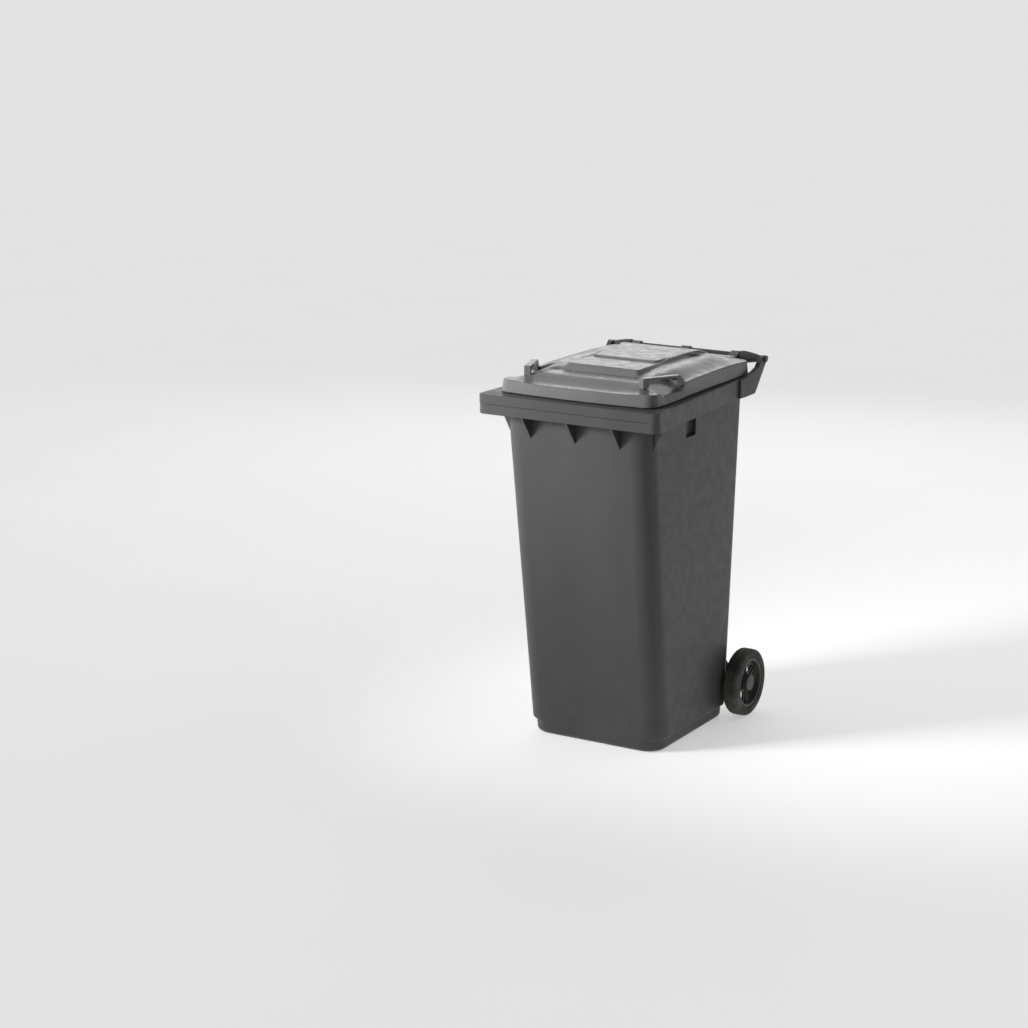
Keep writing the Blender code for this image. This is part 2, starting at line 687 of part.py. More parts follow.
def make_hinge_pin(side, finish):
    sign = SIDES[side]
    head = OUTER_ARM_OUTER + TOUCH_GAP
    profile = [(PIN_INNER, 0.0045), (PIN_INNER + 0.003, PIN_RADIUS), (head, PIN_RADIUS),
               (head, PIN_HEAD_RADIUS), (head + PIN_HEAD - 0.0015, PIN_HEAD_RADIUS),
               (head + PIN_HEAD, PIN_HEAD_RADIUS - 0.002)]
    bm = bmesh.new()
    rings = []
    for x, radius in profile:
        rings.append([(sign * x, a, b) for a, b in arc((0, 0), radius, 0, 360 * 19 / 20, 19)])
    skin_rings(bm, rings)
    return object_from(bm, f"hinge_pin_{side}", finish,
                       (0, behind(HINGE_DEPTH), HINGE_HEIGHT))


def make_buffer(place, finish):
    """Rubber stud: a square stem in the rim and a low round head under the lid's edge."""
    x, depth = BUFFER_PLACES[place]
    stem = BUFFER_STEM_RADIUS
    top = LID_BOTTOM - RIM_TOP - TOUCH_GAP
    bm = bmesh.new()
    rings = []
    for height, radius in ((-0.0105, stem), (TOUCH_GAP, stem), (TOUCH_GAP, BUFFER_RADIUS),
                           (top - 0.0008, BUFFER_RADIUS), (top, BUFFER_RADIUS - 0.0012)):
        square = radius == stem
        ring = []
        for turn in range(16):
            angle = 2 * pi * turn / 16 + pi / 4
            reach = radius
            if square:
                reach = radius / max(abs(cos(angle)), abs(sin(angle)))
            ring.append((reach * cos(angle), reach * sin(angle), height))
        rings.append(ring)
    skin_rings(bm, rings)
    return object_from(bm, f"lid_buffer_{place}", finish, (x, behind(depth), RIM_TOP))


# ---------------------------------------------------------------- axle and wheels

def axle_place():
    return (0, behind(AXLE_DEPTH), AXLE_HEIGHT)


def make_axle(finish):
    bm = bmesh.new()
    rings = []
    for x, radius in ((-AXLE_END, AXLE_RADIUS - 0.002), (-AXLE_END + 0.002, AXLE_RADIUS),
                      (AXLE_END - 0.002, AXLE_RADIUS), (AXLE_END, AXLE_RADIUS - 0.002)):
        rings.append([(x, a, b) for a, b in arc((0, 0), radius, 0, 360 * 23 / 24, 23)])
    skin_rings(bm, rings)
    return object_from(bm, "axle", finish, axle_place())


def make_sleeve(name, side, size, finish):
    """Ring-shaped piece on the axle: its inner end, its outer end and its radius."""
    sign = SIDES[side]
    inner_x, outer_x, radius = size
    bore = AXLE_RADIUS + RUNNING_GAP
    profile = [(sign * inner_x, bore), (sign * outer_x, bore),
               (sign * outer_x, radius), (sign * inner_x, radius)]
    return object_from(turned(profile, 24), f"{name}_{side}", finish, axle_place())


def make_tyre(side, finish):
    """Solid tyre with rounded shoulders, seated on the hub's rim."""
    sign = SIDES[side]
    middle = (WHEEL_INNER + WHEEL_OUTER) / 2
    half = (WHEEL_OUTER - WHEEL_INNER) / 2
    tread = [(-half + 0.004, TYRE_INNER_RADIUS), (-half, TYRE_INNER_RADIUS + 0.005),
             (-half, WHEEL_RADIUS - 0.014), (-half + 0.004, WHEEL_RADIUS - 0.006),
             (-half + 0.012, WHEEL_RADIUS - 0.001), (-0.006, WHEEL_RADIUS)]
    tread += [(-x, radius) for x, radius in reversed(tread)]
    profile = [(sign * (middle + x), radius) for x, radius in tread]
    return object_from(turned(profile, 40), f"tyre_{side}", finish, axle_place())


def make_hub(side, finish):
    """Moulded wheel hub: outer ring, middle web with spokes, and the boss for the bush."""
    sign = SIDES[side]
    seat = TYRE_INNER_RADIUS - TOUCH_GAP
    bore = BUSH_RADIUS + TOUCH_GAP
    low = WHEEL_INNER + 0.003
    high = WHEEL_OUTER - 0.003
    web_low, web_high = HUB_WEB
    half = [(low, seat), (low, HUB_RING_INNER), (web_low, HUB_RING_INNER - 0.002),
            (web_low, BOSS_RADIUS + 0.002), (WHEEL_INNER, BOSS_RADIUS), (WHEEL_INNER, bore),
            (BOSS_OUTER, bore), (BOSS_OUTER, BOSS_RADIUS), (web_high, BOSS_RADIUS),
            (web_high, HUB_RING_INNER - 0.002), (high, HUB_RING_INNER), (high, seat)]
    profile = [(sign * x, radius) for x, radius in half]
    hub = object_from(turned(profile, 40), f"wheel_hub_{side}", finish, axle_place())
    window = arc((0, 0), HUB_RING_INNER - 0.007, -20, 20, 4)
    window += arc((0, 0), BOSS_RADIUS + 0.008, 12, -12, 2)
    low_x, high_x = sorted((sign * (web_low - 0.004), sign * (web_high + 0.004)))
    for number in range(SPOKES):
        turn = 2 * pi * number / SPOKES
        corners = []
        for a, b in window:
            corners.append((behind(AXLE_DEPTH) + a * cos(turn) - b * sin(turn),
                            AXLE_HEIGHT + a * sin(turn) + b * cos(turn)))
        join_shape(hub, prism(f"tool_window_{side}_{number}", corners, low_x, high_x, "X"),
                   "DIFFERENCE")
    return hub


def make_hub_cap(side, finish):
    """Cup that snaps over the hub's boss and hides the end of the axle."""
    sign = SIDES[side]
    inner = BOSS_RADIUS + TOUCH_GAP
    radius = inner + CAP_WALL
    under, top = CAP_ROOF
    inside = [(under, inner / 2), (under, inner), (CAP_INNER, inner)]
    outside = [(CAP_INNER, radius), (top - 0.003, radius), (top, radius - 0.003),
               (top, radius / 2)]
    bm = bmesh.new()
    rings = []
    for x, reach in inside + outside:
        rings.append([(sign * x, a, b) for a, b in arc((0, 0), reach, 0, 360 * 31 / 32, 31)])
    skin_rings(bm, rings)
    return object_from(bm, f"hub_cap_{side}", finish, axle_place())


def make_wheel_set(finishes):
    make_axle(finishes["zinc"])
    bush = (WHEEL_INNER + 0.0005, BOSS_OUTER - TOUCH_GAP, BUSH_RADIUS)
    for side in SIDES:
        make_sleeve("axle_spacer", side, SPACER, finishes["nylon"])
        make_sleeve("axle_washer", side, WASHER, finishes["zinc"])
        make_sleeve("wheel_bush", side, bush, finishes["nylon"])
        make_sleeve("push_nut", side, PUSH_NUT, finishes["zinc"])
        make_hub(side, finishes["wheel"])
        make_tyre(side, finishes["rubber"])
        make_hub_cap(side, finishes["wheel"])


# ---------------------------------------------------------------- whole bin

def main():
    clear_scene()
    finishes = {
        "tub": material("tub_polyethylene", (0.085, 0.085, 0.087), 0.50),
        "lid": material("lid_polyethylene", (0.180, 0.180, 0.182), 0.36),
        "wheel": material("wheel_polypropylene", (0.030, 0.030, 0.031), 0.50),
        "rubber": material("tyre_rubber", (0.018, 0.018, 0.018), 0.80),
        "zinc": material("zinc_plated_steel", (0.55, 0.56, 0.57), 0.35, 1.0),
        "nylon": material("bearing_nylon", (0.62, 0.61, 0.57), 0.45),
        "pin": material("pin_nylon", (0.040, 0.040, 0.041), 0.45),
    }
    make_body(finishes["tub"])
    make_lid(finishes["lid"])
    for side in SIDES:
        make_hinge_pin(side, finishes["pin"])
    for place in BUFFER_PLACES:
        make_buffer(place, finishes["rubber"])
    make_wheel_set(finishes)


main()
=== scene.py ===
import json
from math import cos, hypot, pi, radians, sin, sqrt

import bmesh
import bpy
from mathutils import Matrix, Vector, noise


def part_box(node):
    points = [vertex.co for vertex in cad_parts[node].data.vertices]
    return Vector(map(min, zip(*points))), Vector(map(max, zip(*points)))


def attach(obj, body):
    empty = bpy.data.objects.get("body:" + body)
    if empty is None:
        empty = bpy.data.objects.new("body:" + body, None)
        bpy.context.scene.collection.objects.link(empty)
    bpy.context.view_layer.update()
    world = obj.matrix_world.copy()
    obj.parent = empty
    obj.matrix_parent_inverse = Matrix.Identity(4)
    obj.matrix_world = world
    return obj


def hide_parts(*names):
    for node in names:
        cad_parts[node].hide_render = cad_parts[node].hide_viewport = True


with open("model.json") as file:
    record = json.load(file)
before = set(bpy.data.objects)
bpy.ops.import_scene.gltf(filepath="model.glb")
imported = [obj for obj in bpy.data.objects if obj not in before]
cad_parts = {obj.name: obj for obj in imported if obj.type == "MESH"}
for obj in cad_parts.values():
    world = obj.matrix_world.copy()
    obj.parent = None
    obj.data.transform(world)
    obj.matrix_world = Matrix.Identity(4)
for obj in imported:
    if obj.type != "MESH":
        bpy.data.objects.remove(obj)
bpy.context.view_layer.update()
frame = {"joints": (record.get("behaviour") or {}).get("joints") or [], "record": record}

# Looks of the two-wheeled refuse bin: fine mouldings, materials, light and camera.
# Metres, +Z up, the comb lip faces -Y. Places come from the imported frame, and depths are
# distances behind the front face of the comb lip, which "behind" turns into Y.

# ---------------------------------------------------------------- places read from the frame

RECORD = frame["record"]
BODY_OF = {node: body for body, nodes in RECORD["behaviour"]["bodies"].items() for node in nodes}
SLOT_OF = {part["node"]: part["material_slot"] for part in RECORD["subparts"]}
SIDES = {"left": -1, "right": 1}


def joint_place(name):
    return Vector(next(joint["pos_m"] for joint in frame["joints"] if joint["name"] == name))


def mount_place(name):
    return Vector(next(mount["pos_m"] for mount in RECORD["mounts"] if mount["name"] == name))


BODY_LOW, BODY_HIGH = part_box("body")
LID_LOW, LID_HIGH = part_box("lid")
TYRE_LOW, TYRE_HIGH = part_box("tyre_right")
HUB_LOW, HUB_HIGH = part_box("wheel_hub_right")
LIP_FRONT_Y = BODY_LOW.y
OVERALL_DEPTH = BODY_HIGH.y - BODY_LOW.y
LIP_HALF_WIDTH = BODY_HIGH.x
RIM_TOP = mount_place("lip_top").z
HINGE = joint_place("lid_hinge")
AXLE = joint_place("axle_spin")
WHEEL_RADIUS = TYRE_HIGH.z - AXLE.z
LID_FLARE = 0.030
LID_BOTTOM = LID_LOW.z
LID_HALF_WIDTH = LID_HIGH.x / (1 + LID_FLARE)
STEP_TOP = LID_HIGH.z


def behind(depth):
    return LIP_FRONT_Y + depth


# ---------------------------------------------------------------- dimensions of the mouldings

WALL = 0.0045
FRONT_AT_FLOOR, FRONT_AT_SHOULDER, SHOULDER_HEIGHT = 0.168, 0.050, 0.903
BACK_AT_FLOOR, BACK_AT_RIM = 0.600, 0.6475
SIDE_AT_FLOOR, SIDE_AT_RIM = 0.220, 0.2313
TUB_FRONT_RADIUS, TUB_BACK_RADIUS = 0.058, 0.045
WALL_BOW = 0.0012
FOOT_HEIGHT, FOOT_STEP, FOOT_BLEND = 0.034, 0.012, 0.010
FLOOR_TOP, FLOOR_UNDERSIDE, FLOOR_MIDDLE = 0.016, 0.010, (0.0, 0.385)
FLUTE_DEPTH, FLUTE_PLACE, FLUTE_HALF = 0.0035, 0.095, 0.024
FLUTE_LOW, FLUTE_HIGH = 0.230, 0.900

RIM_BOTTOM = 0.968
RIM_SLAB, RIM_SKIRT = 0.005, 0.004
RIM_HALF_WIDTH, RIM_FLARE_END = 0.250, 0.560
RIM_BACK, RIM_BACK_RADIUS = 0.660, 0.052
LIP_UPPER_RADIUS, LIP_LOWER_RADIUS = 0.020, 0.023
RIM_EDGE, RIM_FOOT_EDGE = 0.0028, 0.0014
GROOVE_HEIGHT, GROOVE_DEPTH, GROOVE_HALF = 0.9965, 0.0022, 0.0013
GROOVE_END = 0.252
MOUTH_LEDGE, MOUTH_LEDGE_HEIGHT = 0.0135, 0.016

RIB_PITCH, RIB_THICKNESS = 0.141, 0.007
CORNER_RIB_DEPTH, CORNER_RIB_OUTER = 0.090, 0.260
POCKET_FRONT, POCKET_BACK = 0.275, 0.333
POCKET_BOTTOM, POCKET_TOP, POCKET_INSET = 0.903, 0.964, 0.014

LID_FRONT, LID_BACK, LID_BOW = 0.038, 0.692, 0.014
LID_RADIUS, LID_THICKNESS, LID_ROUNDING = 0.032, 0.0035, 0.020
LID_EDGE, LID_EDGE_RADIUS = 1.0575, 0.0048
LID_BACK_NOTCH, LID_NOTCH_INNER, NOTCH_BLEND = 0.028, 0.180, 0.004
PANEL_FRONT, PANEL_BACK, PANEL_HALF_WIDTH, PANEL_TOP = 0.185, 0.600, 0.124, 1.095
PANEL_FRONT_SLOPE, PANEL_BACK_SLOPE, PANEL_SIDE_SLOPE = 0.027, 0.050, 0.012
PANEL_EARS, EARS_FRONT, EARS_REACH = 0.018, 0.502, 0.042
STEP_FRONT, STEP_BACK, STEP_HALF_WIDTH = 0.330, 0.545, 0.105
SCOOP_INNER, SCOOP_FRONT, SCOOP_BACK, SCOOP_CORNER = 0.166, 0.092, 0.248, 0.032
SCOOP_FLOOR_INNER, SCOOP_FLOOR_OUTER = 1.0670, 1.0465

GRIP_FRONT_POST, GRIP_BACK_POST = (0.184, 0.110), (0.228, 0.222)
GRIP_FRONT_TOP, GRIP_BACK_TOP = 1.096, 1.091
GRIP_WIDTH, GRIP_BAR, GRIP_ARCH = 0.0185, 0.0125, 0.004
GRIP_PLATE, GRIP_FLANGE = 0.0048, 0.0040

BAR_RADIUS, BAR_END = 0.011, 0.146
LUG_INNER, LUG_OUTER, LUG_RADIUS = 0.150, 0.178, 0.016
HAND_GRIP = ((0.182, 0.0165), (0.1828, 0.0174), (0.184, 0.0180), (0.198, 0.0172), (0.212, 0.0152),
             (0.226, 0.0126), (0.238, 0.0098), (0.247, 0.0085))
OUTER_ARM_INNER, OUTER_ARM_OUTER, ARM_NOSE_HEIGHT = 0.243, 0.257, 0.0095
INNER_ARM_INNER = 0.130
PIN_RADIUS, PIN_HEAD_RADIUS, PIN_HEAD = 0.005, 0.010, 0.005
TOUCH_GAP = 0.0003

AXLE_RADIUS = 0.011
WEB_INNER, WEB_OUTER = (0.157, 0.164), (0.2015, 0.2085)
SPOKES, HUB_RING_INNER = 6, 0.066
HUB_WEB_LOW, HUB_WEB_HIGH = 0.2505, 0.2565

DUST_TOP, DUST_COLOUR = 0.30, (0.20, 0.19, 0.175)

FLAT_STEPS, CORNER_STEPS, SIDE_STEPS = 12, 14, 16
ROUND_STEPS = 96


# ---------------------------------------------------------------- small helpers

def smooth(value):
    value = min(max(value, 0.0), 1.0)
    return value * value * (3 - 2 * value)


def mix(start, end, share):
    return start + (end - start) * share


def spread(start, end, steps, last=True):
    """Evenly spaced numbers from start to end."""
    return [mix(start, end, i / steps) for i in range(steps + (1 if last else 0))]


def arc(centre, radius, start, end, steps):
    turns = [radians(angle) for angle in spread(start, end, steps)]
    return [(centre[0] + radius * cos(t), centre[1] + radius * sin(t)) for t in turns]


def rounded(corners, radius, steps=4):
    """Closed outline with each sharp corner replaced by a curve that starts a radius away."""
    points = []
    count = len(corners)
    for i in range(count):
        before, corner, after = (Vector(corners[(i + k) % count]) for k in (-1, 0, 1))
        inward, outward = before - corner, after - corner
        reach = min(radius, inward.length * 0.45, outward.length * 0.45)
        start = corner + inward.normalized() * reach
        end = corner + outward.normalized() * reach
        for share in spread(0, 1, steps):
            near = mix(start, corner, share)
            far = mix(corner, end, share)
            points.append(tuple(mix(near, far, share)))
    return points


def object_from(bm, name, angle=32):
    bmesh.ops.remove_doubles(bm, verts=bm.verts, dist=1e-6)
    bmesh.ops.recalc_face_normals(bm, faces=bm.faces)
    mesh = bpy.data.meshes.new(name)
    bm.to_mesh(mesh)
    bm.free()
    mesh.shade_smooth()
    mesh.set_sharp_from_angle(angle=radians(angle))
    made = bpy.data.objects.new(name, mesh)
    bpy.context.scene.collection.objects.link(made)
    return made


def close_rings(bm, rings):
    """Side faces between neighbouring rings of points, and a cap at each end."""
    loops = [[bm.verts.new(point) for point in ring] for ring in rings]
    count = len(loops[0])
    for lower, upper in zip(loops, loops[1:]):
        for i in range(count):
            j = (i + 1) % count
            bm.faces.new((lower[i], lower[j], upper[j], upper[i]))
    bm.faces.new(list(reversed(loops[0])))
    bm.faces.new(loops[-1])


def skin(name, rings, angle=32):
    """Closed surface through rings with the same number of points, capped at both ends."""
    bm = bmesh.new()
    close_rings(bm, rings)
    return object_from(bm, name, angle)


def soften(bm, radius, segments=3, angle=34):
    """Round every edge of a tool that is sharper than the angle."""
    bmesh.ops.recalc_face_normals(bm, faces=bm.faces)
    edges = [e for e in bm.edges if len(e.link_faces) == 2 and e.calc_face_angle() > radians(angle)]
    bmesh.ops.bevel(bm, geom=edges, offset=radius, segments=segments, profile=0.5,
                    affect="EDGES", clamp_overlap=True)


def prism(name, corners, start, end, axis, radius=0.0015):
    """Outline pushed along X, Y or Z, with softened edges."""
    place = {"X": lambda t, a, b: (t, a, b), "Y": lambda t, a, b: (a, t, b),
             "Z": lambda t, a, b: (a, b, t)}[axis]
    bm = bmesh.new()
    close_rings(bm, [[place(t, a, b) for a, b in corners] for t in (start, end)])
    if radius:
        soften(bm, radius)
    return object_from(bm, name)


def side_prism(name, corners, sign, inner, outer, radius):
    """Outline in Y and Z pushed along X on one side, between two distances from the middle."""
    return prism(name, corners, *sorted((sign * inner, sign * outer)), "X", radius)


def block(name, low, high, radius=0.0015):
    corners = [(low[0], low[1]), (high[0], low[1]), (high[0], high[1]), (low[0], high[1])]
    return prism(name, corners, low[2], high[2], "Z", radius)


def spindle(name, profile, centre, steps=ROUND_STEPS):
    """Solid of (x, radius) points turned about a line along X, capped at both ends."""
    rings = []
    for x, radius in profile:
        turns = spread(0, 2 * pi, steps, last=False)
        rings.append([(x, centre.y + radius * cos(t), centre.z + radius * sin(t)) for t in turns])
    return skin(name, rings)


def bore(name, sign, inner, outer, radius, centre):
    """Cutter for a round hole along X on one side, with room to turn round its pin or axle."""
    reach = radius + TOUCH_GAP
    return spindle(name, [(sign * inner, reach), (sign * outer, reach)], centre, 32)


def turned_ring(name, profile, centre, steps=ROUND_STEPS):
    """Ring of a closed (x, radius) profile turned about a line along X."""
    bm = bmesh.new()
    loops = []
    for t in spread(0, 2 * pi, steps, last=False):
        loops.append([bm.verts.new((x, centre.y + r * cos(t), centre.z + r * sin(t)))
                      for x, r in profile])
    count = len(profile)
    for i in range(steps):
        here, following = loops[i], loops[(i + 1) % steps]
        for j in range(count):
            k = (j + 1) % count
            bm.faces.new((here[j], here[k], following[k], following[j]))
    return object_from(bm, name)


def combine(target, tools, operation):
    """Unite the tools with the target or cut them from it, one by one, and clear them away."""
    for tool in tools:
        step = target.modifiers.new("combine", "BOOLEAN")
        step.operation = operation
        step.solver = "MANIFOLD"
        step.object = tool
        fresh = bpy.data.meshes.new_from_object(
            target.evaluated_get(bpy.context.evaluated_depsgraph_get()))
        target.modifiers.clear()
        target.data = fresh
        bpy.data.objects.remove(tool, do_unlink=True)


def settle_shading(piece, angle=32):
    """Smooth shading with crisp creases and flat faces kept flat."""
    bm = bmesh.new()
    bm.from_mesh(piece.data)
    bmesh.ops.remove_doubles(bm, verts=bm.verts, dist=2e-6)
    bmesh.ops.dissolve_degenerate(bm, edges=bm.edges, dist=1e-6)
    bm.to_mesh(piece.data)
    bm.free()
    piece.data.shade_smooth()
    piece.data.set_sharp_from_angle(angle=radians(angle))
    weighted = piece.modifiers.new("weighted_normals", "WEIGHTED_NORMAL")
    weighted.keep_sharp = True
    weighted.weight = 60


def stand_for(piece, node):
    """The piece rides with a CAD node's body, takes its slot and is shown in its place."""
    piece.data.materials.clear()
    piece.data.materials.append(FINISHES[SLOT_OF[node]])
    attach(piece, BODY_OF[node])
    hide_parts(node)


# ---------------------------------------------------------------- materials

def link(tree, source, output, target, socket):
    tree.links.new(source.outputs[output], target.inputs[socket])


def noise_node(tree, coords, scale, detail, stretch=(1, 1, 1)):
    """Noise in metres, drawn out along an axis by a stretch."""
    mapping = tree.nodes.new("ShaderNodeMapping")
    mapping.inputs["Scale"].default_value = stretch
    link(tree, coords, "Object", mapping, "Vector")
    made = tree.nodes.new("ShaderNodeTexNoise")
    made.inputs["Scale"].default_value = scale
    made.inputs["Detail"].default_value = detail
    link(tree, mapping, "Vector", made, "Vector")
    return made


def ramp_between(tree, source, output, low, high, colours):
    ramp = tree.nodes.new("ShaderNodeValToRGB")
    ramp.color_ramp.elements[0].position = low
    ramp.color_ramp.elements[1].position = high
    for element, colour in zip(ramp.color_ramp.elements, colours):
        element.color = (*colour, 1)
    link(tree, source, output, ramp, "Fac")
    return ramp


def ranged(tree, source, output, start, end):
    made = tree.nodes.new("ShaderNodeMapRange")
    made.inputs["From Min"].default_value = 0.35
    made.inputs["From Max"].default_value = 0.65
    made.inputs["To Min"].default_value = start
    made.inputs["To Max"].default_value = end
    link(tree, source, output, made, "Value")
    return made


def bumped(tree, height, output, strength, distance, below=None):
    made = tree.nodes.new("ShaderNodeBump")
    made.inputs["Strength"].default_value = strength
    made.inputs["Distance"].default_value = distance
    link(tree, height, output, made, "Height")
    if below:
        link(tree, below, "Normal", made, "Normal")
    return made


def tinted(colour, share):
    return tuple(channel * share for channel in colour)


def dusted(tree, coords, under, dust):
    """Colour node with road dust over it, thickest at the floor and gone a third of a metre up."""
    place = tree.nodes.new("ShaderNodeSeparateXYZ")
    link(tree, coords, "Object", place, "Vector")
    fade = tree.nodes.new("ShaderNodeMapRange")
    fade.inputs["From Min"].default_value = DUST_TOP
    fade.inputs["From Max"].default_value = 0.0
    link(tree, place, "Z", fade, "Value")
    cloud = noise_node(tree, coords, 18.0, 6.0)
    share = tree.nodes.new("ShaderNodeMath")
    share.operation = "MULTIPLY"
    link(tree, fade, "Result", share, 0)
    link(tree, ranged(tree, cloud, "Fac", 0.0, dust), "Result", share, 1)
    dusty = tree.nodes.new("ShaderNodeMix")
    dusty.data_type = "RGBA"
    dusty.inputs["B"].default_value = (*DUST_COLOUR, 1)
    link(tree, share, "Value", dusty, "Factor")
    link(tree, under, "Result", dusty, "A")
    return dusty


def moulded(name, colour, roughness, grain, waves, dust=0.0, wear=0.35, metallic=0.0, shine=0.5):
    """Moulded or rolled surface: slow tone changes, fine grain, long waves, scuffs and dust."""
    made = bpy.data.materials.new(name)
    made.use_nodes = True
    tree = made.node_tree
    shader = tree.nodes["Principled BSDF"]
    shader.inputs["Metallic"].default_value = metallic
    shader.inputs["Specular IOR Level"].default_value = shine
    coords = tree.nodes.new("ShaderNodeTexCoord")
    tone = noise_node(tree, coords, 5.0, 5.0, (1, 1, 0.45))
    shades = (tinted(colour, 0.90), tinted(colour, 1.10))
    tones = ramp_between(tree, tone, "Fac", 0.30, 0.72, shades)
    scuff = noise_node(tree, coords, 55.0, 7.0, (0.35, 0.35, 2.4))
    scuffs = ramp_between(tree, scuff, "Fac", 0.60, 0.80, ((0, 0, 0), (wear, wear, wear)))
    worn = tree.nodes.new("ShaderNodeMix")
    worn.data_type = "RGBA"
    worn.inputs["B"].default_value = (*tinted(colour, 1.45), 1)
    link(tree, scuffs, "Color", worn, "Factor")
    link(tree, tones, "Color", worn, "A")
    last = dusted(tree, coords, worn, dust) if dust else worn
    link(tree, last, "Result", shader, "Base Color")
    gloss = noise_node(tree, coords, 30.0, 4.0)
    link(tree, ranged(tree, gloss, "Fac", roughness - 0.05, roughness + 0.06), "Result",
         shader, "Roughness")
    slow = bumped(tree, noise_node(tree, coords, 26.0, 2.0), "Fac", waves, 0.004)
    fine = bumped(tree, noise_node(tree, coords, 900.0, 3.0), "Fac", grain, 0.0006, slow)
    link(tree, fine, "Normal", shader, "Normal")
    return made


FINISHES = {
    "tub": moulded("tub_polyethylene", (0.045, 0.045, 0.046), 0.42, 0.20, 0.015, dust=0.08,
                   wear=0.12, shine=0.32),
    "lid": moulded("lid_polyethylene", (0.090, 0.090, 0.091), 0.28, 0.05, 0.006, wear=0.08),
    "pin": moulded("pin_nylon", (0.030, 0.030, 0.031), 0.42, 0.15, 0.02),
    "wheel": moulded("wheel_polypropylene", (0.030, 0.030, 0.031), 0.45, 0.25, 0.04, dust=0.35),
    "tyre": moulded("tyre_rubber", (0.020, 0.020, 0.0195), 0.78, 0.55, 0.05, dust=0.5, wear=0.5),
    "rubber": moulded("buffer_rubber", (0.022, 0.022, 0.022), 0.72, 0.40, 0.03),
    "nylon": moulded("bearing_nylon", (0.58, 0.57, 0.53), 0.42, 0.15, 0.02),
    "zinc_steel": moulded("zinc_plated_steel", (0.56, 0.57, 0.58), 0.34, 0.10, 0.02,
                          metallic=1.0),
}


# ---------------------------------------------------------------- outlines seen from above

def half_outline(front, back, front_half, side_half, flare, front_radius, back_radius):
    """Right half of a rounded outline, from the front middle to just before the back middle."""
    corner = front_half - front_radius
    points = [(x, front) for x in spread(0, corner, FLAT_STEPS, last=False)]
    points += arc((corner, front + front_radius), front_radius, -90, 0, CORNER_STEPS)
    start = front + front_radius
    for share in spread(0, 1, SIDE_STEPS // 2)[1:]:
        points.append((mix(front_half, side_half, share), mix(start, flare, share)))
    end = back - back_radius
    points += [(side_half, depth) for depth in spread(flare, end, SIDE_STEPS, last=False)[1:]]
    corner = side_half - back_radius
    points += arc((corner, end), back_radius, 0, 90, CORNER_STEPS)
    points += [(x, back) for x in spread(corner, 0, FLAT_STEPS)[1:]]
    return points


def closed_outline(half):
    return half + [(-x, depth) for x, depth in reversed(half[1:-1])]


def level_ring(outline, height):
    return [(x, behind(depth), height) for x, depth in outline]


def between(first, second, share):
    return [(mix(a[0], b[0], share), mix(a[1], b[1], share)) for a, b in zip(first, second)]


def front_wall_depth(height):
    return mix(FRONT_AT_FLOOR, FRONT_AT_SHOULDER, min(height / SHOULDER_HEIGHT, 1.0))


def side_wall_half(height):
    return mix(SIDE_AT_FLOOR, SIDE_AT_RIM, height / RIM_TOP)


def back_wall_depth(height):
    return mix(BACK_AT_FLOOR, BACK_AT_RIM, height / RIM_TOP)


def flute(x, height):
    """Depth of the two upright stiffening flutes in the back wall."""
    across = smooth(1.6 * (1 - abs(abs(x) - FLUTE_PLACE) / FLUTE_HALF))
    along = smooth((height - FLUTE_LOW) / 0.03) * smooth((FLUTE_HIGH - height) / 0.03)
    return FLUTE_DEPTH * across * along


def tub_outline(height, inset=0.0, side_step=0.0, front_step=0.0):
    """Outline of the tub's outer face at a height, moved inwards by the inset."""
    front = front_wall_depth(height) + inset + front_step
    back = back_wall_depth(height) - inset
    half = side_wall_half(height) - inset - side_step
    front_radius = max(TUB_FRONT_RADIUS - inset, 0.012)
    back_radius = max(TUB_BACK_RADIUS - inset, 0.012)
    flare = mix(front + front_radius, back - back_radius, 0.3)
    outline = closed_outline(half_outline(front, back, half, half, flare,
                                          front_radius, back_radius))
    bow = 0.0
    if inset <= WALL:
        bow = WALL_BOW * sin(pi * min(max(height / SHOULDER_HEIGHT, 0.0), 1.0))
    shaped = []
    for x, depth in outline:
        if depth > back - 0.001:
            depth -= flute(x, height)
        if depth < front + 0.001:
            depth -= bow * cos(pi / 2 * x / half)
        shaped.append((x, depth))
    return shaped


def tub_ring(height, inset=0.0, side_step=0.0, front_step=0.0):
    return level_ring(tub_outline(height, inset, side_step, front_step), height)


def rim_outline(inset=0.0, corner_radius=LIP_UPPER_RADIUS, groove=0.0):
    """Outline of the rim: wide at the comb lip, narrowing to the sides behind it."""
    half = half_outline(inset, RIM_BACK - inset, LIP_HALF_WIDTH - inset,
                        RIM_HALF_WIDTH - inset, RIM_FLARE_END,
                        corner_radius - inset, RIM_BACK_RADIUS - inset)
    outline = []
    for x, depth in closed_outline(half):
        share = 1 - smooth((abs(x) - GROOVE_END) / 0.008) if depth < inset + 0.001 else 0.0
        outline.append((x, depth + groove * share))
    return outline


# ---------------------------------------------------------------- tub

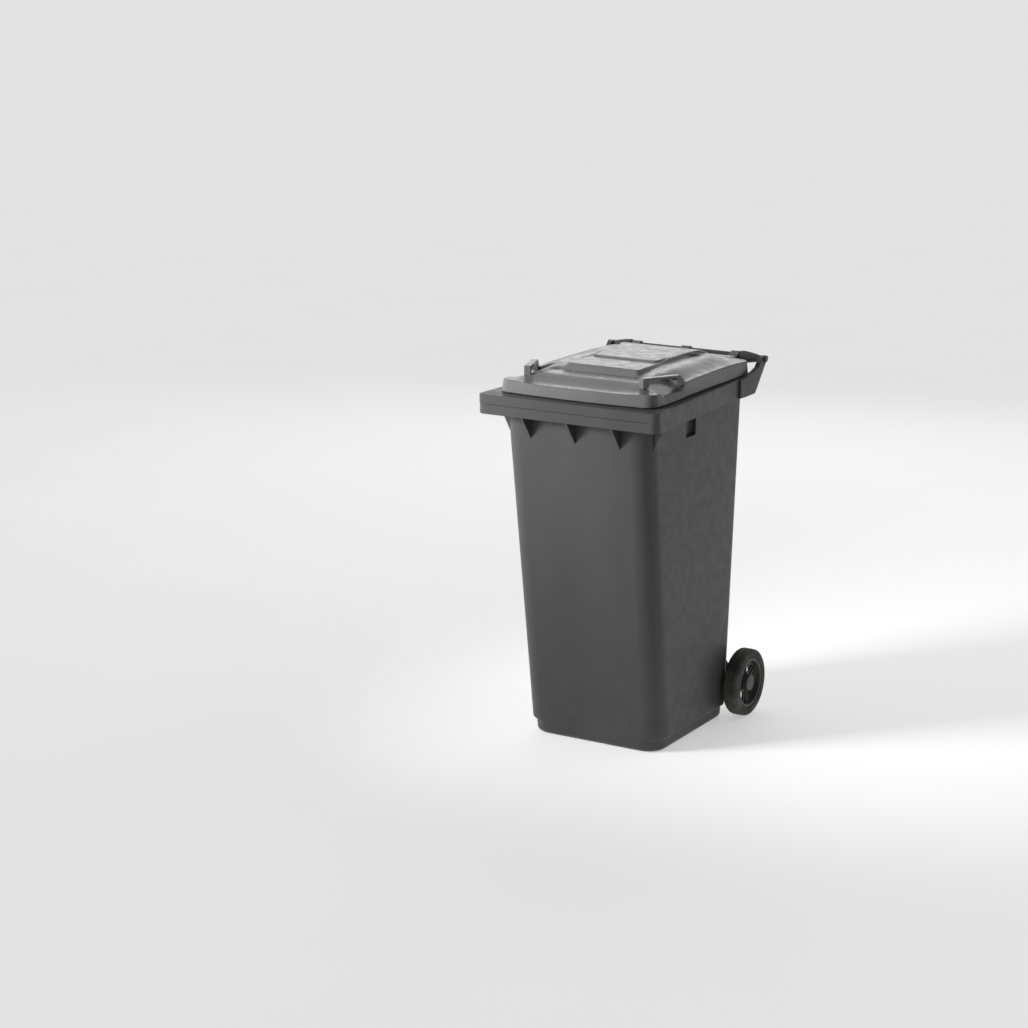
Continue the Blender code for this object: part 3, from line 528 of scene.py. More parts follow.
def foot_rings():
    """Bottom of the tub: recessed floor, standing ring, rounded edge and side step."""
    rings = []
    for share in (0.15, 0.45, 0.75):
        inner = tub_outline(FLOOR_UNDERSIDE, 0.034, FOOT_STEP)
        middle = [FLOOR_MIDDLE] * len(inner)
        rings.append(level_ring(between(middle, inner, share), FLOOR_UNDERSIDE))
    stand = [(FLOOR_UNDERSIDE, 0.032), (FLOOR_UNDERSIDE - 0.0012, 0.0298), (0.0012, 0.0275),
             (0.0, 0.026)]
    stand += [(0.014 * (1 - sin(t)), 0.014 * (1 - cos(t)))
              for t in spread(pi / 2, 0, 8)]
    stand += [(height, 0.0) for height in (0.020, 0.027, FOOT_HEIGHT)]
    for height, inset in stand:
        rings.append(tub_ring(height, inset, FOOT_STEP))
    for share in spread(0, 1, 5)[1:]:
        height = FOOT_HEIGHT + FOOT_BLEND * share
        rings.append(tub_ring(height, 0.0, FOOT_STEP * (1 - smooth(share))))
    return rings


def rim_rings():
    """The hollow rim and comb lip: underside, skirt, groove, upper edge and top."""
    slab = RIM_TOP - RIM_SLAB
    lower, upper = LIP_LOWER_RADIUS, LIP_UPPER_RADIUS
    inside = rim_outline(RIM_SKIRT, lower)
    wall = tub_outline(slab)
    rings = [level_ring(between(wall, inside, share), slab) for share in (0.0, 0.3, 0.6, 0.9, 1.0)]
    rings.append(level_ring(inside, mix(slab, RIM_BOTTOM, 0.5)))
    for angle in spread(0, pi, 6):
        inset = RIM_SKIRT / 2 * (1 + cos(angle))
        height = RIM_BOTTOM + RIM_FOOT_EDGE * (1 - sin(angle))
        rings.append(level_ring(rim_outline(inset, lower), height))
    rings.append(level_ring(rim_outline(0.0, lower), mix(RIM_BOTTOM, GROOVE_HEIGHT, 0.5)))
    for offset, deep, radius in ((-1.0, 0.0, lower), (-0.5, 0.8, lower), (0.0, 1.0, lower),
                                 (0.2, 1.0, upper), (0.6, 0.8, upper), (1.1, 0.0, upper)):
        height = GROOVE_HEIGHT + offset * GROOVE_HALF
        rings.append(level_ring(rim_outline(0.0, radius, deep * GROOVE_DEPTH), height))
    rings.append(level_ring(rim_outline(), mix(GROOVE_HEIGHT, RIM_TOP, 0.5)))
    for angle in spread(0, pi / 2, 5):
        inset = RIM_EDGE * (1 - cos(angle))
        rings.append(level_ring(rim_outline(inset), RIM_TOP - RIM_EDGE * (1 - sin(angle))))
    return rings


def mouth_rings():
    """From the rim's top over the mouth's edge and ledge and down the inner walls."""
    ledge = MOUTH_LEDGE
    edge = 0.003
    brink = tub_outline(RIM_TOP, WALL - edge, 0.0, ledge - edge)
    top = rim_outline(RIM_EDGE)
    rings = [level_ring(between(top, brink, share), RIM_TOP) for share in (0.25, 0.5, 0.75)]
    for angle in spread(0, pi / 2, 4):
        move = edge * sin(angle)
        outline = tub_outline(RIM_TOP, WALL - edge + move, 0.0, ledge - edge)
        rings.append(level_ring(outline, RIM_TOP - edge * (1 - cos(angle))))
    under = RIM_TOP - MOUTH_LEDGE_HEIGHT
    rings.append(tub_ring(under, WALL, 0.0, ledge - edge))
    rings.append(level_ring(tub_outline(under, WALL, 0.0, ledge / 2), under - ledge / 2))
    rings.append(level_ring(tub_outline(under, WALL), under - ledge))
    return rings


def wall_heights():
    heights = spread(FOOT_HEIGHT + FOOT_BLEND + 0.012, SHOULDER_HEIGHT - 0.012, 26)
    heights += [SHOULDER_HEIGHT - 0.004, SHOULDER_HEIGHT, SHOULDER_HEIGHT + 0.004]
    return heights + [0.935, 0.980]


def tub_shell():
    rings = foot_rings()
    heights = wall_heights()
    rings += [tub_ring(height) for height in heights]
    rings += rim_rings()
    rings += mouth_rings()
    rings += [tub_ring(height, WALL) for height in reversed(heights)]
    corner = 0.020
    for angle in spread(0, pi / 2, 6):
        height = FLOOR_TOP + corner * (1 - sin(angle)) + 0.012 * cos(angle)
        inset = WALL + corner * (1 - cos(angle))
        rings.append(tub_ring(height, inset, FOOT_STEP))
    floor = tub_outline(FLOOR_TOP, WALL + corner, FOOT_STEP)
    middle = [FLOOR_MIDDLE] * len(floor)
    for share in (0.75, 0.5, 0.2):
        rings.append(level_ring(between(middle, floor, share), FLOOR_TOP))
    return skin("tub_moulding", rings)


def front_rib(index):
    """Upright rib under the lip, from the lip's skirt down to the front wall."""
    centre = (index - 1) * RIB_PITCH
    top = RIM_TOP - RIM_SLAB / 2
    corners = [(behind(RIM_SKIRT / 2), top), (behind(RIM_SKIRT / 2), RIM_BOTTOM - 0.001),
               (behind(RIM_SKIRT + 0.002), RIM_BOTTOM - 0.006),
               (behind(front_wall_depth(SHOULDER_HEIGHT) + WALL / 2), SHOULDER_HEIGHT - 0.004),
               (behind(front_wall_depth(top) + WALL / 2), top)]
    return prism(f"front_rib_{index}", corners, centre - RIB_THICKNESS / 2,
                 centre + RIB_THICKNESS / 2, "X", 0.0012)


def corner_rib(sign):
    """Rib beside a front corner, across the bin, from the lip's end to the side wall."""
    top = RIM_TOP - RIM_SLAB / 2
    outer = CORNER_RIB_OUTER
    corners = [(sign * outer, top), (sign * outer, RIM_BOTTOM - 0.002),
               (sign * (side_wall_half(SHOULDER_HEIGHT) - WALL / 2), SHOULDER_HEIGHT),
               (sign * (side_wall_half(top) - WALL / 2), top)]
    return prism("corner_rib", corners, behind(CORNER_RIB_DEPTH),
                 behind(CORNER_RIB_DEPTH + RIB_THICKNESS), "Y", 0.0012)


def rear_rib(sign, place):
    """Small gusset under the rim at the back of the tub."""
    top = RIM_TOP - RIM_SLAB / 2
    corners = [(behind(RIM_BACK - RIM_SKIRT / 2), top),
               (behind(RIM_BACK - RIM_SKIRT / 2), RIM_BOTTOM - 0.001),
               (behind(back_wall_depth(0.945) - WALL / 2), 0.945),
               (behind(back_wall_depth(top) - WALL / 2), top)]
    return prism("rear_rib", corners, sign * place - 0.003, sign * place + 0.003, "X", 0.001)


def hand_pocket(sign, grow):
    """Hand pocket under a side rim, grown on every side but the outer one."""
    inner = side_wall_half(POCKET_TOP) - POCKET_INSET - grow
    outer = side_wall_half(POCKET_TOP) + (-WALL / 2 if grow else 0.006)
    low_x, high_x = sorted((sign * inner, sign * outer))
    return block("pocket", (low_x, behind(POCKET_FRONT - grow), POCKET_BOTTOM - grow),
                 (high_x, behind(POCKET_BACK + grow), POCKET_TOP + grow), 0.0025)


def outer_arm(sign):
    """Cheek plate that carries the hand grip outside the lid, with a flat oval nose."""
    reach = OVERALL_DEPTH - (HINGE.y - LIP_FRONT_Y)
    corners = [(behind(0.560), RIM_BOTTOM), (behind(0.600), RIM_BOTTOM - 0.0008),
               (behind(0.655), RIM_BOTTOM)]
    corners += [(HINGE.y + reach * y, HINGE.z + ARM_NOSE_HEIGHT * z)
                for y, z in arc((0, 0), 1.0, -60, 150, 24)]
    corners += [(behind(0.674), 1.042), (behind(0.645), 1.0335), (behind(0.620), RIM_TOP + 0.006),
                (behind(0.595), RIM_TOP + 0.001), (behind(0.560), RIM_TOP - 0.001)]
    return side_prism("outer_arm", corners, sign, OUTER_ARM_INNER, OUTER_ARM_OUTER, 0.0018)


def inner_arm(sign):
    """Slim arm that rises from the back rim under the lid and holds the middle of the bar."""
    under = HINGE.z - 0.018
    top = HINGE.z - 0.003
    corners = [(behind(0.636), RIM_TOP - 0.002), (behind(0.657), RIM_TOP - 0.002),
               (behind(0.664), under), (HINGE.y, under),
               (HINGE.y, top), (behind(0.640), top), (behind(0.636), top - 0.004)]
    return side_prism("inner_arm", corners, sign, INNER_ARM_INNER, BAR_END, 0.0012)


def axle_bracket(sign):
    """Two webs and a sloping hood between them behind the tub, round the axle."""
    wall = back_wall_depth(AXLE.z) - WALL / 2
    web = rounded([(behind(wall), 0.058), (behind(0.645), 0.076), (behind(0.655), 0.090),
                   (behind(0.655), 0.118), (behind(wall), 0.168)], 0.004)
    hood = [(behind(wall), 0.163), (behind(0.655), 0.113), (behind(0.655), 0.118),
            (behind(wall), 0.168)]
    pieces = [side_prism("axle_web", web, sign, inner, outer, 0.0012)
              for inner, outer in (WEB_INNER, WEB_OUTER)]
    pieces.append(side_prism("axle_hood", hood, sign, WEB_INNER[1] - 0.002,
                             WEB_OUTER[0] + 0.002, 0.0012))
    return pieces


def hand_grip(sign):
    """Handle end between the lid's lug and the outer arm, thinner towards the arm."""
    return spindle("hand_grip", [(sign * x, radius) for x, radius in HAND_GRIP], HINGE, 64)


def make_tub():
    tub = tub_shell()
    added = [front_rib(index) for index in range(3)]
    pockets = []
    bores = []
    for sign in SIDES.values():
        added += [corner_rib(sign), hand_pocket(sign, WALL), outer_arm(sign), inner_arm(sign),
                  hand_grip(sign)]
        added += axle_bracket(sign)
        added += [rear_rib(sign, place) for place in (0.045, 0.095, 0.205)]
        pockets.append(hand_pocket(sign, 0.0))
        bores += [bore("pin_bore", sign, BAR_END - 0.008, OUTER_ARM_OUTER + 0.010, PIN_RADIUS,
                       HINGE),
                  bore("axle_hole", sign, 0.150, 0.215, AXLE_RADIUS, AXLE)]
    added.append(spindle("middle_bar", [(-BAR_END, BAR_RADIUS), (BAR_END, BAR_RADIUS)], HINGE, 48))
    combine(tub, added, "UNION")
    combine(tub, pockets + bores, "DIFFERENCE")
    settle_shading(tub)
    stand_for(tub, "body")


# ---------------------------------------------------------------- lid

def lid_plan(x, depth):
    """Plan of the lid: sides that flare towards the front, and a bowed front edge."""
    flare = 1 + LID_FLARE * (1 - smooth((depth - 0.080) / 0.420))
    bow = LID_BOW * (x / LID_HALF_WIDTH) ** 2 * smooth((0.200 - depth) / 0.150)
    return x * flare, depth + bow


def scoop(x, depth):
    """Share of the finger scoop's depth at a point of the lid, 0 outside it and 1 inside."""
    outward = smooth((abs(x) - 0.185) / 0.050)
    wall = mix(0.012, 0.034, outward)
    across = abs(x) - SCOOP_INNER
    along = min(depth - mix(SCOOP_FRONT + 0.016, SCOOP_FRONT, outward), SCOOP_BACK - depth)
    radius = SCOOP_CORNER
    inside = radius - hypot(max(radius - across, 0.0), max(radius - along, 0.0))
    return smooth(min(inside, min(across, along)) / wall)


def scoop_floor(x):
    """Height of the scoop's floor, which falls towards the lid's side."""
    return mix(SCOOP_FLOOR_INNER, SCOOP_FLOOR_OUTER, min(max((abs(x) - 0.180) / 0.062, 0.0), 1.0))


def swell(x, depth):
    """Slow unevenness of a large thin moulding."""
    return 0.0005 * noise.noise(Vector((x * 7, depth * 7, 0.3)))


def dome_height(x, depth):
    """Height of the lid's outer face outside its raised panel."""
    edge = 0.0030 * smooth((abs(x) - 0.110) / 0.110) * smooth((0.200 - depth) / 0.100)
    edge += 0.0110 * smooth((depth - 0.090) / 0.240) - 0.0050 * smooth((depth - 0.520) / 0.140)
    crown = 0.0200 * smooth((0.238 - abs(x)) / 0.080) * smooth((depth - 0.052) / 0.105)
    crown *= 1 - 0.9 * smooth((depth - 0.560) / 0.110)
    valley = 0.0040 * smooth((depth - 0.128) / 0.030) * smooth((0.200 - depth) / 0.014)
    valley *= smooth((0.165 - abs(x)) / 0.035)
    plain = LID_EDGE + edge + crown - valley + swell(x, depth) * smooth((0.236 - abs(x)) / 0.020)
    return mix(plain, min(plain, scoop_floor(x)), scoop(x, depth))


def panel_height(depth):
    """Height of the raised panel around its step, which dies out towards the back."""
    return mix(PANEL_TOP, STEP_TOP - 0.0008, smooth((depth - STEP_FRONT) / 0.085))


def side_stations(start, end):
    """Depths along a side of the lid, close together beside the finger scoop."""
    stations = spread(start, SCOOP_FRONT - 0.004, 3, last=False)[1:]
    stations += spread(SCOOP_FRONT - 0.004, SCOOP_BACK + 0.004, 44, last=False)
    stations += spread(SCOOP_BACK + 0.004, end, 26, last=False)
    return stations


def lid_outline(inset):
    """Outline of the lid, moved inwards; the back moves less once past the lid's edge."""
    edge = min(inset, LID_ROUNDING)
    beyond = inset - edge
    radius = LID_RADIUS - edge
    half = LID_HALF_WIDTH - inset
    front = LID_FRONT + inset
    back = LID_BACK - edge - beyond * 0.25
    corner_back = LID_BACK - LID_BACK_NOTCH - edge - beyond * 0.03
    notch = LID_NOTCH_INNER - inset * 0.5
    points = [(x, front) for x in spread(0, half - radius, 16, last=False)]
    points += arc((half - radius, front + radius), radius, -90, 0, 12)
    first = front + radius
    last = corner_back - radius
    nominal = side_stations(LID_FRONT + LID_RADIUS, LID_BACK - LID_BACK_NOTCH - LID_RADIUS)
    for number, depth in enumerate(nominal):
        low = first + 0.0012 * (number + 1)
        high = last - 0.0012 * (len(nominal) - number)
        points.append((half, min(max(depth, low), high)))
    points += arc((half - radius, last), radius, 0, 90, 12)
    start = half - radius
    reach = NOTCH_BLEND
    if start > notch + reach + 0.001:
        points += [(x, corner_back) for x in spread(start, notch + reach, 3, last=False)[1:]]
    else:
        points += [(mix(start, notch + reach, share), corner_back) for share in (0.33, 0.66)]
    for share in spread(0, 1, 8):
        points.append((mix(notch + reach, notch - reach, share),
                       mix(corner_back, back, smooth(share))))
    points += [(x, back) for x in spread(notch - reach, 0, 14)[1:]]
    return closed_outline([lid_plan(x, depth) for x, depth in points])


def panel_outline(front, back, half, radius, ears=0.0):
    """Outline of the raised panel, wider at its back corners, with as many points as the lid's."""
    points = [(x, front) for x in spread(0, half - radius, 16, last=False)]
    points += arc((half - radius, front + radius), radius, -90, 0, 12)
    count = len(side_stations(0.1, 0.6))
    points += [(half, depth) for depth in spread(front + radius, back - radius, count + 1)[1:-1]]
    points += arc((half - radius, back - radius), radius, 0, 90, 12)
    points += [(x, back) for x in spread(half - radius, 0, 2 + 9 + 14)[1:]]
    shaped = []
    for x, depth in points:
        out = ears * smooth((depth - EARS_FRONT) / EARS_REACH) * smooth((x - 0.060) / 0.040)
        shaped.append((x + out, depth))
    return closed_outline(shaped)


def skirt_ring(inset, share, below, drop):
    """Ring of the lid's upright edge: a share of the way up, and a little below that."""
    ring = []
    for x, depth in lid_outline(inset + drop):
        top = dome_height(x, depth)
        height = mix(LID_BOTTOM, top, share) - below * smooth(2 * share)
        ring.append((x, behind(depth), height - drop))
    return ring


def lid_rings(drop):
    """Rings of a face of the lid, from the bottom edge to the middle of its top."""
    radius = LID_EDGE_RADIUS
    rings = [skirt_ring(0.0014, 0.36, 0.0, drop), skirt_ring(0.0026, 0.62, 0.0, drop)]
    for angle in spread(0, pi / 2, 7):
        inset = 0.0038 + radius * (1 - cos(angle))
        rings.append(skirt_ring(inset, 1.0, radius * (1 - sin(angle)), drop))
    outlines = [lid_outline(inset) for inset in spread(0.0105, 0.075, 24)]
    base = panel_outline(PANEL_FRONT, PANEL_BACK, PANEL_HALF_WIDTH, 0.014, PANEL_EARS)
    outlines += [between(outlines[-1], base, share) for share in spread(0, 1, 6)[1:]]
    for outline in outlines:
        rings.append([(x, behind(depth), dome_height(x, depth) - drop) for x, depth in outline])
    top = panel_outline(PANEL_FRONT + PANEL_FRONT_SLOPE, PANEL_BACK - PANEL_BACK_SLOPE,
                        PANEL_HALF_WIDTH - PANEL_SIDE_SLOPE, 0.010, PANEL_EARS * 0.7)
    for share in spread(0, 1, 12)[1:]:
        rise = min(max(1.10 * share - 0.05, 0.0), 1.0)
        ring = []
        for x, depth in between(base, top, share):
            height = mix(dome_height(x, depth), panel_height(depth), mix(rise, smooth(rise), 0.35))
            ring.append((x, behind(depth), height - drop))
        rings.append(ring)
    last = top
    for reach, rise in ((-0.004, 0.0), (0.0, 0.0004), (0.0016, 0.6), (0.0036, 0.94), (0.006, 1.0)):
        last = panel_outline(STEP_FRONT + reach, STEP_BACK - reach, STEP_HALF_WIDTH - reach, 0.012)
        rings.append([(x, behind(depth), mix(panel_height(depth), STEP_TOP, rise) - drop)
                      for x, depth in last])
    middle = [(0.0, mix(STEP_FRONT, STEP_BACK, 0.5))] * len(last)
    rings += [level_ring(between(last, middle, share), STEP_TOP - drop)
              for share in (0.25, 0.5, 0.75, 0.93)]
    return rings


def lid_shell():
    """Hollow lid: outer face, beaded bottom edge and inner face as one skin."""
    rings = list(reversed(lid_rings(0.0)))
    for share, inset in ((0.20, 0.0009), (0.10, 0.0003), (0.04, 0.0), (0.015, 0.0003)):
        rings.append(skirt_ring(inset, share, 0.0, 0.0))
    rings.append(level_ring(lid_outline(0.0010), LID_BOTTOM))
    rings.append(level_ring(lid_outline(LID_THICKNESS - 0.0006), LID_BOTTOM))
    rings.append(level_ring(lid_outline(LID_THICKNESS), LID_BOTTOM + 0.0006))
    rings += lid_rings(LID_THICKNESS)
    return skin("lid_moulding", rings)


def grip_side(length, front_foot, back_foot):
    """Side view of a lid grip: distances along it and heights, with an arched underside."""
    start, end = 0.0135, length - 0.012
    points = [(-0.0105, front_foot), (start - 0.002, front_foot)]
    for share in spread(0, 1, 6):
        under = mix(GRIP_FRONT_TOP, GRIP_BACK_TOP, share) - GRIP_BAR
        points.append((mix(start, end, share), under + GRIP_ARCH * (1 - (2 * share - 1) ** 2)))
    points += [(length - 0.002, back_foot - 0.006), (length + 0.026, back_foot),
               (length + 0.008, GRIP_BACK_TOP - 0.006), (length + 0.002, GRIP_BACK_TOP),
               (-0.0095, GRIP_FRONT_TOP), (-0.0105, GRIP_FRONT_TOP - 0.004)]
    return points


def grip_slab(name, sign, profile, inner, outer, radius):
    """Side view of a grip given a thickness, between two offsets from the grip's middle line."""
    front, back = Vector(GRIP_FRONT_POST), Vector(GRIP_BACK_POST)
    along = (back - front).normalized()
    across = Vector((along.y, -along.x))
    ends = []
    for offset in (inner, outer):
        spots = [(front + along * distance + across * offset, height)
                 for distance, height in profile]
        ends.append([(sign * spot.x, behind(spot.y), height) for spot, height in spots])
    bm = bmesh.new()
    close_rings(bm, ends)
    soften(bm, radius, 3, 60)
    return object_from(bm, name)


def grip_cavity(sign, length):
    """Hollow under the grip's top plate, open to the outside and closed by its inner flange."""
    start, end = 0.0105, length - 0.008
    points = [(end, 1.040), (start, 1.040)]
    for share in spread(0, 1, 8):
        under = mix(GRIP_FRONT_TOP, GRIP_BACK_TOP, share) - GRIP_PLATE - GRIP_ARCH
        points.append((mix(start, end, share), under + GRIP_ARCH * (1 - (2 * share - 1) ** 4)))
    return grip_slab("grip_cavity", sign, points, GRIP_FLANGE - GRIP_WIDTH / 2, 0.030, 0.0008)


def lid_grip(sign):
    """Bridge-shaped grip over the finger scoop: front post, hollow bar and rear leg."""
    front, back = Vector(GRIP_FRONT_POST), Vector(GRIP_BACK_POST)
    length = (back - front).length
    front_foot = dome_height(front.x, front.y) - 0.002
    back_foot = dome_height(back.x, back.y + 0.030) - 0.002
    profile = rounded(grip_side(length, front_foot, back_foot), 0.0025, 3)
    grip = grip_slab("grip_bridge", sign, profile, -GRIP_WIDTH / 2, GRIP_WIDTH / 2, 0.0036)
    combine(grip, [grip_cavity(sign, length)], "DIFFERENCE")
    return grip


def lid_back_seat(low):
    """Corners of a neck that end inside the lid's sloping back wall."""
    return [(behind(0.6800), HINGE.z - 0.0008), (behind(0.6835), HINGE.z - 0.008),
            (behind(0.6870), low)]


def hinge_lug(sign):
    """Eye of the lid that turns on the hinge pin, with its neck to the lid's back edge."""
    corners = arc((HINGE.y, HINGE.z), LUG_RADIUS, -110, 110, 28)
    corners += lid_back_seat(HINGE.z - 0.018)
    return side_prism("hinge_lug", corners, sign, LUG_INNER, LUG_OUTER, 0.0016)


def hinge_saddle():
    """Open hook in the middle of the lid's back edge that rests over the handle bar."""
    inner = BAR_RADIUS + 0.0006
    corners = arc((HINGE.y, HINGE.z), inner + 0.004, 5, 150, 20)
    corners += lid_back_seat(HINGE.z - 0.012)
    corners += arc((HINGE.y, HINGE.z), inner, 195, 5, 24)
    return prism("hinge_saddle", corners, -0.014, 0.014, "X", 0.0010)


def make_lid():
    lid = lid_shell()
    added = [hinge_saddle()]
    cuts = []
    for sign in SIDES.values():
        added += [lid_grip(sign), hinge_lug(sign)]
        low_x, high_x = sorted((sign * (INNER_ARM_INNER - 0.003), sign * (BAR_END + 0.003)))
        cuts.append(block("notch", (low_x, behind(0.671), LID_BOTTOM - 0.010),
                          (high_x, behind(0.700), HINGE.z), 0.0))
        cuts.append(bore("lug_bore", sign, LUG_INNER - 0.003, LUG_OUTER + 0.003, PIN_RADIUS,
                         HINGE))
    combine(lid, added, "UNION")
    combine(lid, cuts, "DIFFERENCE")
    settle_shading(lid)
    stand_for(lid, "lid")


# ---------------------------------------------------------------- pins and buffers

def make_hinge_pin(side):
    sign = SIDES[side]
    low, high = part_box(f"hinge_pin_{side}")
    start = min(abs(low.x), abs(high.x))
    end = max(abs(low.x), abs(high.x))
    head = end - PIN_HEAD
    edge = 0.0014
    profile = [(start, PIN_RADIUS - 0.0015), (start + 0.003, PIN_RADIUS), (head, PIN_RADIUS),
               (head, PIN_HEAD_RADIUS - 0.0004), (head + 0.0005, PIN_HEAD_RADIUS)]
    profile += [(end - edge * (1 - sin(t)), PIN_HEAD_RADIUS - edge * (1 - cos(t)))
                for t in spread(0, pi / 2, 5)]
    profile += [(end, 0.0042), (end - 0.0008, 0.0036), (end - 0.0008, 0.0010)]
    profile = [(sign * x, radius) for x, radius in profile]
    pin = spindle(f"fine_hinge_pin_{side}", profile, HINGE, 48)
    stand_for(pin, f"hinge_pin_{side}")


def make_buffer(place):
    """Rubber stud with a low domed head under the lid's edge."""
    node = f"lid_buffer_{place}"
    low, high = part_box(node)
    middle = (low + high) / 2
    radius = (high.x - low.x) / 2
    stem = radius / 2
    rings = [(low.z, stem - 0.0004), (low.z + 0.0006, stem), (RIM_TOP + TOUCH_GAP, stem),
             (RIM_TOP + TOUCH_GAP, radius - 0.0003), (RIM_TOP + TOUCH_GAP + 0.0003, radius)]
    dome = high.z - RIM_TOP - TOUCH_GAP - 0.0006
    rings += [(high.z - dome * (1 - sin(t)), radius * (0.62 + 0.38 * cos(t)))
              for t in spread(0, pi / 2, 6)]
    loops = []
    for height, reach in rings:
        turns = spread(0, 2 * pi, 32, last=False)
        loops.append([(middle.x + reach * cos(t), middle.y + reach * sin(t), height)
                      for t in turns])
    stud = skin(f"fine_{node}", loops)
    stand_for(stud, node)


# ---------------------------------------------------------------- axle and wheels

def make_axle():
    low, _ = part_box("axle")
    edge = 0.0016
    profile = [(low.x, AXLE_RADIUS - edge - 0.0006), (low.x + 0.0003, AXLE_RADIUS - edge),
               (low.x + edge, AXLE_RADIUS)]
    profile += [(-x, radius) for x, radius in reversed(profile)]
    axle = spindle("fine_axle", profile, AXLE, 64)
    stand_for(axle, "axle")


def make_sleeve(node, edge):
    """Fine version of a plain ring on the axle."""
    low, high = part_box(node)
    outer = (high.z - low.z) / 2
    hole = AXLE_RADIUS + TOUCH_GAP
    profile = rounded([(low.x, hole), (high.x, hole), (high.x, outer), (low.x, outer)], edge, 3)
    ring = turned_ring(f"fine_{node}", profile, AXLE, 64)
    stand_for(ring, node)


def tyre_profile():
    """Closed profile of the tyre, x measured from its middle: tread, shoulders and walls."""
    half = (TYRE_HIGH.x - TYRE_LOW.x) / 2
    shoulder = 0.011
    seat = HUB_HIGH.z - AXLE.z + TOUCH_GAP
    tread = []
    for x in spread(-half, half, 96):
        near = max(shoulder - (half - abs(x)), 0.0)
        drop = shoulder - sqrt(max(shoulder ** 2 - near ** 2, 0.0))
        groove = max(smooth(1.5 * (1 - abs(abs(x) - 0.0075) / 0.0016)), 0.0)
        crown = 0.10 * x * x / half * 0.2
        tread.append((x, WHEEL_RADIUS - drop - 0.0016 * groove - crown))
    inner = [(half, seat + 0.012), (half - 0.0010, seat + 0.0105), (half - 0.0010, seat + 0.0055),
             (half, seat + 0.004), (half - 0.001, seat + 0.001), (half - 0.0035, seat)]
    return tread + inner + [(-x, radius) for x, radius in reversed(inner)]


def make_tyre(side):
    sign = SIDES[side]
    middle = sign * (TYRE_HIGH.x + TYRE_LOW.x) / 2
    profile = [(middle + x, radius) for x, radius in tyre_profile()]
    tyre = turned_ring(f"fine_tyre_{side}", profile, AXLE, 128)
    settle_shading(tyre, 40)
    stand_for(tyre, f"tyre_{side}")


def hub_profile(boss, hole, bush_end):
    """Closed profile of the hub: outer ring, web and the boss for the bush."""
    ring_inner = HUB_RING_INNER
    seat = HUB_HIGH.z - AXLE.z
    web_low, web_high = HUB_WEB_LOW, HUB_WEB_HIGH
    rim_low = TYRE_LOW.x + 0.003
    rim_high = HUB_HIGH.x
    outline = [(rim_low, seat), (rim_low, ring_inner), (web_low, ring_inner - 0.002),
               (web_low, boss + 0.002), (HUB_LOW.x, boss), (HUB_LOW.x, hole),
               (bush_end, hole), (bush_end, boss), (web_high, boss + 0.0005),
               (web_high, ring_inner - 0.002), (rim_high, ring_inner), (rim_high, seat)]
    return rounded(outline, 0.0016, 3)


def hub_window(sign, turn):
    """Cutter for an opening between two spokes."""
    window = arc((0, 0), 0.059, -20, 20, 10) + arc((0, 0), 0.030, 12, -12, 6)
    corners = [(AXLE.y + a * cos(turn) - b * sin(turn), AXLE.z + a * sin(turn) + b * cos(turn))
               for a, b in rounded_ends(window, 11)]
    return side_prism("window", corners, sign, HUB_WEB_LOW - 0.006, HUB_WEB_HIGH + 0.006, 0.0)


def make_hub(side):
    """Wheel hub: outer ring, web with windows, ribbed spokes and the boss for the bush."""
    sign = SIDES[side]
    bush_low, bush_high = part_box("wheel_bush_right")
    hole = (bush_high.z - bush_low.z) / 2 + TOUCH_GAP
    boss = hole + 0.0075
    profile = [(sign * x, radius)
               for x, radius in hub_profile(boss, hole, bush_high.x + TOUCH_GAP)]
    hub = turned_ring(f"fine_wheel_hub_{side}", profile, AXLE, 96)
    turns = [2 * pi * number / SPOKES for number in range(SPOKES)]
    windows = [hub_window(sign, turn) for turn in turns]
    spokes = [hub_rib(sign, turn + pi / SPOKES, boss) for turn in turns]
    combine(hub, spokes, "UNION")
    combine(hub, windows, "DIFFERENCE")
    settle_shading(hub)
    stand_for(hub, f"wheel_hub_{side}")


def rounded_ends(outline, split):
    """Window outline with its four corners rounded, between the outer and the inner arc."""
    outer, inner = outline[:split], outline[split:]
    corners = {0, split - 1, split, len(outline) - 1}
    points = []
    count = len(outline)
    for i, point in enumerate(outer + inner):
        if i not in corners:
            points.append(point)
            continue
        corner = Vector(point)
        for neighbour in (Vector(outline[i - 1]), Vector(outline[(i + 1) % count])):
            step = neighbour - corner
            points.append(tuple(corner + step.normalized() * min(0.0035, step.length * 0.6)))
    return points


def hub_rib(sign, turn, boss):
    """Thin radial rib on a spoke, on both faces of the web."""
    bm = bmesh.new()
    bmesh.ops.create_cube(bm, size=1.0)
    length = HUB_RING_INNER - boss + 0.004
    width = HUB_WEB_HIGH - HUB_WEB_LOW + 0.008
    bmesh.ops.scale(bm, vec=(width, length, 0.003), verts=bm.verts)
    soften(bm, 0.0007, 2)
    middle_x = (HUB_WEB_LOW + HUB_WEB_HIGH) / 2
    middle_y = (HUB_RING_INNER + boss) / 2
    bmesh.ops.translate(bm, vec=(sign * middle_x, middle_y, 0), verts=bm.verts)
    bmesh.ops.rotate(bm, cent=(0, 0, 0), matrix=Matrix.Rotation(turn, 3, "X"), verts=bm.verts)
    bmesh.ops.translate(bm, vec=(0, AXLE.y, AXLE.z), verts=bm.verts)
    return object_from(bm, "hub_rib")


